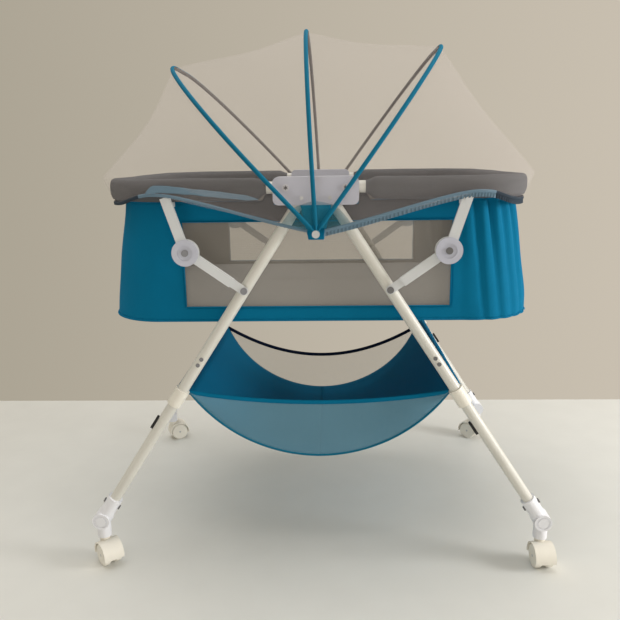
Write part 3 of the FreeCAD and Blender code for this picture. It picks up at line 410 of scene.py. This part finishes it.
# Near black for the star recesses of the bracket screws: painted shade in the recesses.
RECESS_SHADE = hard_material("star_recess_painted_shade", (0.05, 0.05, 0.055), rough=0.5, metal=0.3)
RUBBER = hard_material("black_rubber", (0.015, 0.015, 0.016), rough=0.7, grain=1200.0)
BLUE = cloth_material("blue_cloth", (0.0005, 0.160, 0.310), sheen=0.03, gloss=0.1)
BLUE_TAPE = cloth_material("blue_tape", (0.002, 0.140, 0.245), pitch=0.0022, sheen=0.2)
# A near-black copy of the hem colour for the hem and frill where they run under the ends of the rail covers:
# painted shade.
HEM_UNDER_COVER_SHADE = cloth_material("hem_painted_shade", (0.030, 0.045, 0.065), pitch=0.0020)
TAPE_BACK = cloth_material("tape_back", (0.16, 0.145, 0.13), pitch=0.0022)
HEM = cloth_material("hem_tape", (0.150, 0.235, 0.310), pitch=0.0020)
# The back rim's elastic is drawn in a near-black copy of the basket blue: painted shade on the far rim, whose
# front twin is plain blue.
BACK_RIM_SHADE = cloth_material("rim_elastic_painted_shade", (0.008, 0.016, 0.045), pitch=0.0018)
GREY = cloth_material("grey_cloth", (0.090, 0.092, 0.098), pitch=0.0020)
LINING = cloth_material("grey_lining", (0.205, 0.196, 0.182), pitch=0.0024)
PAD = cloth_material("pad_cloth", (0.200, 0.194, 0.184), pitch=0.0030)
NET = mesh_material("fine_net", (0.95, 0.86, 0.88), pitch=0.0030, thin=0.015, thick=0.145)
TEAL_MESH = mesh_material("teal_mesh", (0.01, 0.19, 0.27), pitch=0.0032, thin=0.25, thick=0.60)
WINDOW = mesh_material("window_mesh", (0.46, 0.43, 0.39), pitch=0.0034, thin=0.22, thick=0.52)
FRONT_MESH = mesh_material("blue_mesh", (0.19, 0.40, 0.53), pitch=0.0032, thin=0.35, thick=0.80)
BACK_MESH = mesh_material("pale_mesh", (0.40, 0.40, 0.38), pitch=0.0032, thin=0.10, thick=0.35)

# The solid parts that keep their own shape
FINISHES = (
    (("upper_legs", "lower_legs", "cross_tube", "rail_tube"), PAINT),
    (("lower_arms", "upper_arms", "rail_lugs"), WHITE_PAINT),
    # The bracket and elbow caps take the darkened white: painted shade.
    (("bracket", "elbow_caps"), SHADED_WHITE),
    (("tee_joints", "castor_hood", "castor_wheels"), CREAM),
    (("foot_sockets",), FOOT),
    (("castor_axle", "leg_pivot_pins", "net_pivot_pins"), STEEL),
    (("rail_pivot_bolts",), ZINC),
    (("leg_fasteners", "elbow_screws"), RIVET),
    (("leg_bumpers",), RUBBER),
    (("hoop",), BLUE_TAPE),
)
for name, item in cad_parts.items():
    for endings, finish in FINISHES:
        if name.endswith(endings):
            item.data.materials.clear()
            item.data.materials.append(finish)


# Mesh helpers

def piece(name, points, faces, finishes, face_finish=None, uvs=None, smooth=True):
    """Mesh object from points and faces, with cloth coordinates in metres."""
    mesh = bpy.data.meshes.new(name)
    mesh.from_pydata([tuple(p) for p in points], [], faces)
    for finish in finishes:
        mesh.materials.append(finish)
    if face_finish:
        mesh.polygons.foreach_set("material_index", face_finish)
    if uvs:
        layer = mesh.uv_layers.new(name="cloth")
        for loop in mesh.loops:
            layer.data[loop.index].uv = uvs[loop.vertex_index]
    mesh.polygons.foreach_set("use_smooth", [smooth] * len(mesh.polygons))
    mesh.update()
    item = bpy.data.objects.new(name, mesh)
    bpy.context.scene.collection.objects.link(item)
    return item


def lattice(name, rows, finishes, closed=False, skip=None, finish_of=None, flip=False):
    """Surface through rows of points; closed joins the ends of each row and flip turns the faces round."""
    count = len(rows[0])
    points = [p for row in rows for p in row]
    uvs = []
    heights = [0.0] * count
    for index, row in enumerate(rows):
        run = 0.0
        for j, p in enumerate(row):
            if j:
                run += (Vector(p) - Vector(row[j - 1])).length
            if index:
                heights[j] += (Vector(p) - Vector(rows[index - 1][j])).length
            uvs.append((run, heights[j]))
    faces = []
    kinds = []
    for i in range(len(rows) - 1):
        for j in range(count if closed else count - 1):
            if skip and skip(i, j):
                continue
            k = (j + 1) % count
            corners = (i * count + j, i * count + k, (i + 1) * count + k, (i + 1) * count + j)
            faces.append(corners[::-1] if flip else corners)
            kinds.append(finish_of(i, j) if finish_of else 0)
    return piece(name, points, faces, finishes, kinds, uvs)


def thicken(item, depth, inner_finish=0):
    """Give a sheet its thickness on the inner side, and make it final."""
    solid = item.modifiers.new("thickness", "SOLIDIFY")
    solid.thickness = depth
    solid.offset = -1
    solid.material_offset = inner_finish
    bpy.context.view_layer.update()
    graph = bpy.context.evaluated_depsgraph_get()
    final = bpy.data.meshes.new_from_object(item.evaluated_get(graph))
    item.modifiers.clear()
    item.data = final


def strand(name, line, size, finishes, closed=False, up=Vector((0, 0, 1)), pick=None):
    """Flattened cord along a line of points, of half width and half height size; pick gives a face's finish."""
    wide, high = size
    rows = []
    count = len(line)
    for i, p in enumerate(line):
        before = line[(i - 1) % count] if closed else line[max(i - 1, 0)]
        after = line[(i + 1) % count] if closed else line[min(i + 1, count - 1)]
        ahead = (Vector(after) - Vector(before)).normalized()
        side = ahead.cross(up)
        side = side.normalized() if side.length > 1e-6 else Vector((1, 0, 0))
        rise = side.cross(ahead)
        ring = []
        for k in range(STRAND_SIDES):
            turn = 2 * math.pi * k / STRAND_SIDES
            ring.append(Vector(p) + side * (wide * math.cos(turn)) + rise * (high * math.sin(turn)))
        rows.append(ring)
    if closed:
        rows.append(rows[0])
    return lattice(name, rows, finishes, closed=True, finish_of=pick)


def ripple(point, scale, seed=0.0):
    """Smooth noise from -1 to 1 at a point."""
    return noise.noise(Vector(point) * scale + Vector((seed, seed, seed)))


def ramp(value, low, high):
    """Smooth step from 0 at low to 1 at high."""
    share = max(0.0, min(1.0, (value - low) / (high - low)))
    return share * share * (3 - 2 * share)


def between(low, high, count):
    """Even steps from low to high, both ends included."""
    return [low + (high - low) * i / count for i in range(count + 1)]


# Star recesses of the bracket screws, as near-black bars: painted shade in the recesses

def star(x, y, z, face):
    """Three crossing bars as points and faces, standing just proud of a screw head."""
    points = []
    faces = []
    for turn in map(math.radians, STAR_TURNS):
        along = Vector((math.cos(turn), 0, math.sin(turn))) * STAR_REACH
        aside = Vector((-math.sin(turn), 0, math.cos(turn))) * STAR_HALF
        base = len(points)
        for level in (-STAR_RISE, STAR_RISE):
            for a, b in ((-1, -1), (1, -1), (1, 1), (-1, 1)):
                points.append(Vector((x, y + face * level, z)) + along * a + aside * b)
        for corners in BOX_FACES:
            order = corners[::-1] if face > 0 else corners
            faces.append(tuple(base + corner for corner in order))
    return points, faces


bolt_low, bolt_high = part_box("rail_pivot_bolts")
star_points = []
star_faces = []
for face, y in ((-1, bolt_low[1]), (1, bolt_high[1])):
    for sx in (-1, 1):
        points, faces = star(sx * BOLT_X, y, RAIL_Z, face)
        star_faces += [tuple(len(star_points) + corner for corner in corners) for corners in faces]
        star_points += points
# The stars are near black: painted shade in the screws' recesses.
stars = piece("bracket_screw_stars", star_points, star_faces, [RECESS_SHADE], smooth=False)
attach(stars, "hub")


# Crib

def rounded_outline(half_length, half_width, corner, steps, arc, ends):
    """Points and outward directions round an oblong from its front left corner; steps divide the sides."""
    out = [(x, -half_width, 0.0, -1.0) for x in steps]
    far_x = half_length - corner
    far_y = half_width - corner

    def bend(cx, cy, start):
        for i in range(1, arc):
            turn = math.radians(start + 90.0 * i / arc)
            c = math.cos(turn)
            s = math.sin(turn)
            out.append((cx + corner * c, cy + corner * s, c, s))

    bend(far_x, -far_y, -90)
    out.extend((half_length, y, 1.0, 0.0) for y in between(-far_y, far_y, ends))
    bend(far_x, far_y, 0)
    out.extend((-x, half_width, 0.0, 1.0) for x in steps)
    bend(-far_x, far_y, 90)
    out.extend((-half_length, -y, -1.0, 0.0) for y in between(-far_y, far_y, ends))
    bend(-far_x, -far_y, 180)
    return out


def crib_outline(z):
    """Plain outline of the crib at one level, whose ends lean outwards towards the floor."""
    length = CRIB_LENGTH - CRIB_FLARE * (z - CRIB_BOTTOM) / (CRIB_TOP - CRIB_BOTTOM)
    straight = length - CRIB_CORNER
    steps = (between(-straight, -WINDOW_X, BESIDE_STEPS)[:-1] + between(-WINDOW_X, WINDOW_X, WINDOW_STEPS)
             + between(WINDOW_X, straight, BESIDE_STEPS)[1:])
    return rounded_outline(length, CRIB_WIDTH, CRIB_CORNER, steps, ARC_STEPS, END_STEPS)


top_outline = crib_outline(CRIB_TOP)
runs = [0.0]
for p, q in zip(top_outline, top_outline[1:]):
    runs.append(runs[-1] + math.hypot(q[0] - p[0], q[1] - p[1]))


def crib_push(x, y, z, nx, run):
    """How far the cloth stands out of its plain wall: bellied ends, gathers from the top edge and creases."""
    depth = (CRIB_TOP - z) / (CRIB_TOP - CRIB_BOTTOM)
    belly = abs(nx) * (RIGHT_BELLY if x > 0 else LEFT_BELLY) * math.sin(math.pi * min(1.0, depth * 0.75))
    turn = run * 2 * math.pi / PLEAT_PITCH + 2.2 * ripple((x, y, z * 0.35), scale=11.0)
    uneven = 0.75 + 0.5 * ripple((run, 0.0, 0.0), scale=21.0, seed=5.0)
    pleats = (math.sin(turn) + 0.3 * math.sin(2 * turn + 1)) * uneven
    right = RIGHT_GATHER * ramp(x, *RIGHT_ENDS) * math.exp(-depth * 1.3)
    left = LEFT_GATHER * ramp(-x, *LEFT_ENDS) * math.exp(-depth * 4.0)
    broad = 0.0016 * ripple((x * 0.6, y * 0.6, z), scale=13.0, seed=3.0)
    fine = 0.0007 * ripple((x, y, z * 0.5), scale=40.0, seed=7.0)
    free = min(1.0, 8 * depth * (1 - depth) + 0.15)
    limit = SIDE_LIMIT if abs(x) < SIDE_X else END_LIMIT
    return min(limit, belly + (right + left) * pleats + (broad + fine) * free)


wall_levels = (between(CRIB_TOP, WINDOW_HIGH, BAND_LEVELS)[:-1]
               + between(WINDOW_HIGH, WINDOW_LOW, WINDOW_LEVELS)
               + between(WINDOW_LOW, CRIB_BOTTOM, BAND_LEVELS)[1:])
crib_rows = []
for z in wall_levels:
    row = []
    for (x, y, nx, ny), run in zip(crib_outline(z), runs):
        push = crib_push(x, y, z, nx, run)
        row.append((x + nx * push, y + ny * push, z))
    crib_rows.append(row)
bottom_row = crib_rows[-1]
for share, rise in FLOOR_RINGS:
    crib_rows.append([(x * share, y * share, z + rise) for x, y, z in bottom_row])
back_start = 2 * BESIDE_STEPS + WINDOW_STEPS + 2 * ARC_STEPS + END_STEPS


def in_window(i, j):
    """Faces that the mesh windows take."""
    if not BAND_LEVELS <= i < BAND_LEVELS + WINDOW_LEVELS:
        return False
    edges = (BESIDE_STEPS, back_start + BESIDE_STEPS)
    return any(edge <= j < edge + WINDOW_STEPS for edge in edges)


crib = lattice("crib_cloth", crib_rows, [BLUE, LINING], closed=True, skip=in_window, flip=True)
thicken(crib, CRIB_THICK, 1)
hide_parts("crib_shell")


def window_point(sy, x, z):
    """Point on a mesh window, hung a little slack."""
    height = (z - WINDOW_LOW) / (WINDOW_HIGH - WINDOW_LOW)
    slack = math.cos(0.5 * math.pi * x / WINDOW_X) * math.sin(math.pi * height)
    inward = PANE_INSET + PANE_SLACK * slack + 0.0008 * ripple((x, sy, z), scale=16.0)
    return (x, sy * (CRIB_WIDTH - inward), z)


def valance_point(sy, x, share):
    """Point on the grey cloth above the net's hem, which passes below the bracket and rises beside it."""
    low = min(CRIB_TOP - VALANCE_LEAST, VALANCE_LOW + VALANCE_SLOPE * abs(x))
    top = BRACKET_LOW
    if abs(x) > BRACKET_X:
        top = CRIB_TOP + VALANCE_RISE * (1 - ramp(abs(x), *VALANCE_FALL))
    out = CRIB_WIDTH + VALANCE_OUT + 0.0007 * ripple((x, sy, share), scale=30.0)
    return (x, sy * out, top + share * (low - top))


crib_pieces = [crib]
for end, sy in (("front", -1), ("back", 1)):
    rows = [[window_point(sy, x, z) for x in between(-WINDOW_X - PANE_LAP, WINDOW_X + PANE_LAP, PANE_STEPS)]
            for z in between(WINDOW_HIGH + PANE_LAP, WINDOW_LOW - PANE_LAP, PANE_LEVELS)]
    pane = lattice(end + "_window_cloth", rows, [WINDOW])
    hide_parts(end + "_window_mesh")
    edge = sy * (CRIB_WIDTH + BINDING_OUT)
    xs = between(-WINDOW_X, WINDOW_X, BINDING_STEPS)[:-1]
    loop = ([(x, edge, WINDOW_HIGH) for x in xs]
            + [(WINDOW_X, edge, z) for z in between(WINDOW_HIGH, WINDOW_LOW, BINDING_LEVELS)[:-1]]
            + [(-x, edge, WINDOW_LOW) for x in xs]
            + [(-WINDOW_X, edge, z) for z in between(WINDOW_LOW, WINDOW_HIGH, BINDING_LEVELS)[:-1]])
    binding = strand(end + "_window_binding", loop, BINDING, [BLUE], closed=True, up=Vector((0, 1, 0)))
    crib_pieces += [pane, binding]
    rows = [[valance_point(sy, x, share) for x in between(-VALANCE_X, VALANCE_X, VALANCE_STEPS)]
            for share in between(0.0, 1.0, VALANCE_LEVELS)]
    valance = lattice(end + "_valance", rows, [GREY], flip=sy < 0)
    thicken(valance, VALANCE_THICK)
    crib_pieces.append(valance)
hem_line = [(x * PIPING_SHARE, y * PIPING_SHARE, z + PIPING_RISE) for x, y, z in bottom_row]
piping = strand("crib_piping", hem_line, PIPING, [BLUE], closed=True)
crib_pieces.append(piping)


# Mattress

pad_rows = []
for inset, rise in PAD_RINGS:
    half_width = PAD_WIDTH - inset
    corner = min(PAD_CORNER, half_width - PAD_LEAST)
    far_x = PAD_LENGTH - inset - corner
    steps = between(-far_x, far_x, PAD_STEPS)
    loop = rounded_outline(PAD_LENGTH - inset, half_width, corner, steps, PAD_ARC, PAD_ENDS)
    pad_rows.append([(x, y, PAD_BASE + rise + 0.0006 * ripple((x, y, rise), scale=22.0))
                     for x, y, nx, ny in loop])
pad = lattice("mattress", pad_rows, [PAD], closed=True)
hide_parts("mattress_pad")
crib_pieces.append(pad)

for item in crib_pieces:
    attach(item, "hub")
    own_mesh(item)


# Rail covers

def rail_line(sx, count):
    """Even points along one rail half, each with the direction out of it and the run so far."""
    corner = RAIL_CORNER
    side = RAIL_END - corner - COVER_START
    arc = 0.5 * math.pi * corner
    across = 2 * (PLANE - corner)
    total = 2 * side + 2 * arc + across
    out = []
    for i in range(count + 1):
        d = total * i / count
        if d <= side:
            p = (COVER_START + d, -PLANE, 0.0, -1.0)
        elif d <= side + arc:
            turn = (d - side) / corner
            p = (RAIL_END - corner + corner * math.sin(turn), -PLANE + corner - corner * math.cos(turn),
                 math.sin(turn), -math.cos(turn))
        elif d <= side + arc + across:
            p = (RAIL_END, -PLANE + corner + d - side - arc, 1.0, 0.0)
        elif d <= side + 2 * arc + across:
            turn = (d - side - arc - across) / corner
            p = (RAIL_END - corner + corner * math.cos(turn), PLANE - corner + corner * math.sin(turn),
                 math.cos(turn), math.sin(turn))
        else:
            p = (COVER_START + total - d, PLANE, 0.0, 1.0)
        out.append((sx * p[0], p[1], sx * p[2], p[3], d))
    return out


def cover_ring(x, y, nx, ny, d):
    """Ring round a padded rail cover, drawn in towards the bracket."""
    full = ramp(abs(x), COVER_START, COVER_FULL) if abs(y) > PLANE - 0.001 else 1.0
    wide = COVER_BARE + COVER_WIDE * full
    above = COVER_BARE + COVER_ABOVE * full
    below = COVER_BARE + COVER_BELOW * full
    ring = []
    for k in range(COVER_SIDES):
        turn = 2 * math.pi * k / COVER_SIDES
        c = math.cos(turn)
        s = math.sin(turn)
        out = math.copysign(abs(c) ** COVER_SQUARE, c) * wide
        rise = math.copysign(abs(s) ** COVER_SQUARE, s) * (above if s > 0 else below)
        creases = (0.5 * ripple((x * 0.45, y * 0.45, rise * 3), scale=34.0)
                   + 0.3 * ripple((x, y, rise * 2), scale=70.0, seed=4.0)
                   + 0.9 * ripple((x * 0.16, y * 0.16, rise * 5 + x * 0.4), scale=40.0, seed=9.0))
        bunch = math.sin(d * 2 * math.pi / BUNCH_PITCH + 3 * s) * ramp(abs(x), *BUNCH_ENDS)
        puff = 1 + full * (0.060 * creases + 0.012 * bunch)
        lift = 1 + full * (0.05 * ripple((x * 0.5, y * 0.5, s), scale=26.0, seed=2.0) - 0.03)
        ring.append((x + nx * out * puff, y + ny * out * puff, RAIL_Z + rise * lift))
    return ring


for side, sx in (("left", -1), ("right", 1)):
    rows = [cover_ring(*station) for station in rail_line(sx, COVER_STEPS)]
    cover = lattice(side + "_rail_padding", rows, [GREY], closed=True)
    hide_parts(side + "_rail_cover")
    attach(cover, side + "_rail")


# Net

def fan(tilt, across, reach):
    """Point in the plane through the net's pivot line at a tilt from upright."""
    turn = math.radians(tilt)
    return Vector((reach * math.sin(turn), across, PIVOT_Z + reach * math.cos(turn)))


def arch(tilt, half_width, reach, corner, start, count):
    """Even points along a hoop-shaped arch."""
    side = reach - corner - start
    bend = 0.5 * math.pi * corner
    flat = 2 * (half_width - corner)
    total = 2 * side + 2 * bend + flat
    out = []
    for i in range(count + 1):
        d = total * i / count
        mirror = 1
        if d > total / 2:
            d = total - d
            mirror = -1
        if d <= side:
            y, s = -half_width, start + d
        elif d <= side + bend:
            turn = (d - side) / corner
            y = -half_width + corner - corner * math.cos(turn)
            s = reach - corner + corner * math.sin(turn)
        else:
            y, s = -half_width + corner + d - side - bend, reach
        out.append(fan(tilt, mirror * y, s))
    return out


stops = [(-NET_END[0],) + NET_END[1:]]
for name in ("left_hoop", "middle_hoop", "right_hoop"):
    tilt, half_width, reach = HOOPS[name]
    stops.append((tilt, half_width - NET_INSET, reach - NET_INSET, HOOP_CORNER - NET_INSET))
stops.append(NET_END)


def net_rows(first, last, steps, count):
    """Rows of points from one arch to the next, drawn in between them."""
    rows = []
    for i in range(steps + 1):
        share = i / steps
        tilt, half_width, reach, corner = [a + share * (b - a) for a, b in zip(first, last)]
        sag = NET_SAG * math.sin(math.pi * share)
        rows.append(arch(tilt, half_width, reach - sag, corner, NET_START, count))
    return rows


def hem_point(p, share):
    """Point of a skirt below its end arch, brought down round the end of the rail."""
    reach = ramp(abs(p.x), *HEM_DOWN) * share
    lift = HEM_LIFT * ramp(abs(p.x), *HEM_LIFT_ON) * (1 - ramp(abs(p.x), *HEM_LIFT_OFF)) * share
    z = p.z + lift + (HEM_Z - p.z) * reach
    return Vector((p.x * (1 - HEM_IN_X * reach), p.y * (1 - HEM_IN_Y * reach), z))


def net_finish(i, j):
    """Dense blue mesh where the net meets its pivots."""
    return 1 if j < PIVOT_STEPS or j >= ACROSS - PIVOT_STEPS else 0


net_pieces = {}
hem_lines = {}
names = ("net_left_skirt", "net_left_panel", "net_right_panel", "net_right_skirt")
for name, first, last in zip(names, stops, stops[1:]):
    rows = net_rows(first, last, NET_STEPS, ACROSS)
    if name in SKIRTS:
        rows = rows[::-1] if name == "net_left_skirt" else rows
        edge = rows[-1]
        rows += [[hem_point(p, share) for p in edge] for share in HEM_SHARES]
        hem_lines[name] = rows[-1]
    net_pieces[name] = lattice(name, rows, [NET, TEAL_MESH], finish_of=net_finish)
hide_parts("mosquito_net")


def frill_row(line, share, drop):
    """Row of a gathered edge below the hem."""
    row = []
    for j, p in enumerate(line):
        pleat = FRILL_PLEAT * math.sin(j * FRILL_TURN + 2 * ripple(p, scale=30.0)) * share
        row.append(Vector((p.x + pleat, p.y * (1 - FRILL_IN * share) + pleat, p.z - drop * share)))
    return row


def ribbon_column(share):
    """Upright row of points across the ribbon that lies on the front of the left skirt."""
    x = RIBBON_X + RIBBON_LENGTH * share
    y = RIBBON_Y - 0.0006 * ripple((x, 0.0, 0.0), scale=40.0)
    z = RIBBON_Z + RIBBON_RISE * (1 - share) ** 0.9 - RIBBON_CURL * math.exp(-share / 0.05)
    half = RIBBON_HALF - RIBBON_TAPER * share
    half *= min(1.0, 0.3 + 12 * share) * min(1.0, 0.15 + 8 * (1 - share))
    half *= 1 + 0.3 * ripple((x, 1.0, 0.0), scale=45.0)
    return [(x, y, z + half * level) for level in between(-1, 1, RIBBON_LEVELS)]


for name, side in SKIRTS.items():
    line = hem_lines[name]
    # Past HEM_TURN the hem and frill take the darker copy of the hem colour: painted shade under the rail
    # covers' ends.
    hem = strand("net_%s_hem" % side, line, HEM_CORD, [HEM, HEM_UNDER_COVER_SHADE],
                 pick=lambda i, j: 1 if abs(line[i].x) > HEM_TURN else 0)
    dense = [p.lerp(q, step / FRILL_DENSE) for p, q in zip(line, line[1:]) for step in range(FRILL_DENSE)]
    rows = [frill_row(dense, share, FRILL_DROP[side]) for share in FRILL_SHARES]
    frill = lattice("net_%s_frill" % side, rows, [HEM, HEM_UNDER_COVER_SHADE],
                    finish_of=lambda i, j: 1 if abs(dense[j].x) > HEM_TURN else 0)
    net_pieces["hem_" + side] = hem
    net_pieces["frill_" + side] = frill
    if side == "left":
        rows = [ribbon_column(share) for share in between(0.0, 1.0, RIBBON_STEPS)]
        ribbon = lattice("net_ribbon", rows, [HEM], flip=True)
        thicken(ribbon, RIBBON_THICK)
        net_pieces["ribbon"] = ribbon

for name in ("net_left_skirt", "hem_left", "frill_left", "ribbon"):
    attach(net_pieces[name], "left_hoop")
    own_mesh(net_pieces[name])
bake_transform(net_pieces["net_left_panel"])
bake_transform(net_pieces["net_right_panel"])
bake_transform(net_pieces["net_right_skirt"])
for name in ("hem_right", "frill_right"):
    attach(net_pieces[name], "hub")

for name, (tilt, half_width, reach) in HOOPS.items():
    line = arch(tilt, half_width, reach, HOOP_CORNER, HOOP_START, HOOP_STEPS)
    turn = math.radians(tilt)
    tape = strand(name + "_tape", line, TAPE, [BLUE_TAPE, TAPE_BACK],
                  up=Vector((math.cos(turn), 0, -math.sin(turn))),
                  pick=lambda i, j: 1 if j in TAPE_BACK_SIDES else 0)
    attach(tape, name)

for end, sy in (("front", -1), ("back", 1)):
    rows = []
    for share in between(0, 1, GUSSET_LEVELS):
        half, z = [a + (b - a) * share for a, b in zip(GUSSET_TOP, GUSSET_FOOT)]
        rows.append([(x * half, sy * (GUSSET_Y + GUSSET_BULGE * (1 - x * x)), z)
                     for x in between(-1, 1, GUSSET_STEPS)])
    gusset = lattice(end + "_gusset", rows, [BLUE])
    thicken(gusset, GUSSET_THICK)
    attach(gusset, "hub")
    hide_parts("net_gussets")


# Basket

def sling_z(x, y):
    """Height of the sling cloth, slung deeper towards the back."""
    back = (y + BASKET_HALF) / (2 * BASKET_HALF)
    sag = FRONT_SAG + (BACK_SAG - FRONT_SAG) * math.sin(0.5 * math.pi * back)
    radius = (SLING_EDGE ** 2 + sag ** 2) / (2 * sag)
    crease = 0.0014 * ripple((x * 0.5, y, 0.0), scale=15.0) * (1 - (x / SLING_EDGE) ** 2)
    return BASKET_EDGE_Z - sag + radius - math.sqrt(radius ** 2 - x * x) + crease


def rim_z(x, y):
    """Height of the basket's elastic rim."""
    share = 1 - (x / SLING_EDGE) ** 2
    return BASKET_EDGE_Z - RIM_DROP - (FRONT_RIM_SAG if y < 0 else BACK_RIM_SAG) * share


for side, sx in (("left", -1), ("right", 1)):
    legs = side + "_legs"
    xs = between(0, SLING_EDGE, SLING_STEPS)
    rows = [[(sx * x, y, sling_z(x, y)) for x in xs] for y in between(-BASKET_HALF, BASKET_HALF, SLING_ROWS)]
    if sx > 0:
        rows = rows[::-1]
    sling = lattice(side + "_sling", rows, [BLUE])
    thicken(sling, SLING_THICK)
    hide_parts("basket_sling")
    basket_parts = [sling]
    for end, sy in (("front", -1), ("back", 1)):
        y = sy * (BASKET_HALF - WALL_INSET)
        rows = []
        for share in between(0, 1, WALL_LEVELS):
            bulge = sy * WALL_BULGE * math.sin(math.pi * share)
            rows.append([(sx * x, y + bulge,
                          sling_z(x, y) + share * max(WALL_LEAST, rim_z(x, y) - sling_z(x, y))) for x in xs])
        wall = lattice("%s_%s_basket_wall" % (side, end), rows, [FRONT_MESH if sy < 0 else BACK_MESH])
        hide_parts("basket_mesh_walls")
        rim_line = [(sx * x, y, rim_z(x, y)) for x in xs]
        seam_line = [(sx * x, y, sling_z(x, y)) for x in xs]
        # The back rim takes the darker copy of the blue: painted shade.
        rim = strand("%s_%s_basket_rim" % (side, end), rim_line, RIM, [BLUE if sy < 0 else BACK_RIM_SHADE])
        seam = strand("%s_%s_basket_seam" % (side, end), seam_line, SEAM, [BLUE_TAPE])
        basket_parts += [wall, rim, seam]
    for item in basket_parts:
        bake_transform(item)
    rows = []
    for y in between(-BASKET_HALF, BASKET_HALF, SLEEVE_STEPS):
        ring = []
        for k in range(SLEEVE_SIDES):
            turn = 2 * math.pi * k / SLEEVE_SIDES
            c = math.cos(turn)
            s = math.sin(turn)
            radius = SLEEVE_RADIUS + 0.0006 * ripple((c, y * 6, s), scale=4.0)
            ring.append((sx * BASKET_X + radius * c, y, BASKET_Z + radius * s))
        rows.append(ring)
    hem = lattice(side + "_basket_hem", rows, [BLUE], closed=True)
    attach(hem, legs)


# Stage, light and camera

FLOOR = hard_material("pale_floor", (0.72, 0.725, 0.70), rough=0.42, grain=60.0, relief=0.02, soil=0.05)
floor_points = [(-FLOOR_REACH, -FLOOR_REACH, 0), (FLOOR_REACH, -FLOOR_REACH, 0),
                (FLOOR_REACH, FLOOR_BACK, 0), (-FLOOR_REACH, FLOOR_BACK, 0)]
floor = piece("floor", floor_points, [(0, 1, 2, 3)], [FLOOR], smooth=False)


def area_light(name, place, target, size, power, colour):
    """Soft light aimed at a point."""
    lamp = bpy.data.lights.new(name, "AREA")
    lamp.shape = "DISK"
    lamp.size = size
    lamp.energy = power
    lamp.color = colour
    item = bpy.data.objects.new(name, lamp)
    item.location = place
    item.rotation_euler = (Vector(target) - Vector(place)).to_track_quat("-Z", "Y").to_euler()
    bpy.context.scene.collection.objects.link(item)


area_light("top", (-0.4, 0.1, 3.0), (0, 0, 0.4), size=2.8, power=46, colour=(1.0, 1.0, 1.0))
area_light("side", (2.2, -0.6, 0.8), (0.3, 0, 0.6), size=0.8, power=34, colour=(1.0, 0.99, 0.97))
area_light("fill", (-0.6, -1.9, 0.25), (0, 0, 0.0), size=1.0, power=3.5, colour=(1.0, 0.99, 0.97))
world = bpy.data.worlds.new("room")
world.use_nodes = True
room = world.node_tree
place = room.nodes.new("ShaderNodeTexCoord")
parts = room.nodes.new("ShaderNodeSeparateXYZ")
room.links.new(place.outputs["Generated"], parts.inputs["Vector"])
across = spread(room, parts.outputs["X"], 0.0, 1.0, -WALL_SPAN, WALL_SPAN)
background = room.nodes["Background"]
room.links.new(tint(room, across, WALL_LEFT, WALL_RIGHT), background.inputs["Color"])
background.inputs["Strength"].default_value = 1.0
bpy.context.scene.world = world
bpy.context.scene.view_settings.view_transform = "Standard"

yaw = math.radians(CAMERA_YAW)
pitch = math.radians(CAMERA_PITCH)
roll = math.radians(CAMERA_ROLL)
ahead = Vector((-math.sin(yaw) * math.cos(pitch), math.cos(yaw) * math.cos(pitch), -math.sin(pitch)))
level = Vector((math.cos(yaw), math.sin(yaw), 0))
upright = level.cross(ahead)
right = level * math.cos(roll) + upright * math.sin(roll)
above = upright * math.cos(roll) - level * math.sin(roll)
lens = bpy.data.cameras.new("camera")
lens.sensor_width = SENSOR_WIDTH
lens.lens = FOCAL_PIXELS / PHOTO_PIXELS * SENSOR_WIDTH
camera = bpy.data.objects.new("camera", lens)
turned = Matrix((right, above, -ahead)).transposed().to_4x4()
camera.matrix_world = Matrix.Translation(CAMERA_PLACE) @ turned
bpy.context.scene.collection.objects.link(camera)
bpy.context.scene.camera = camera
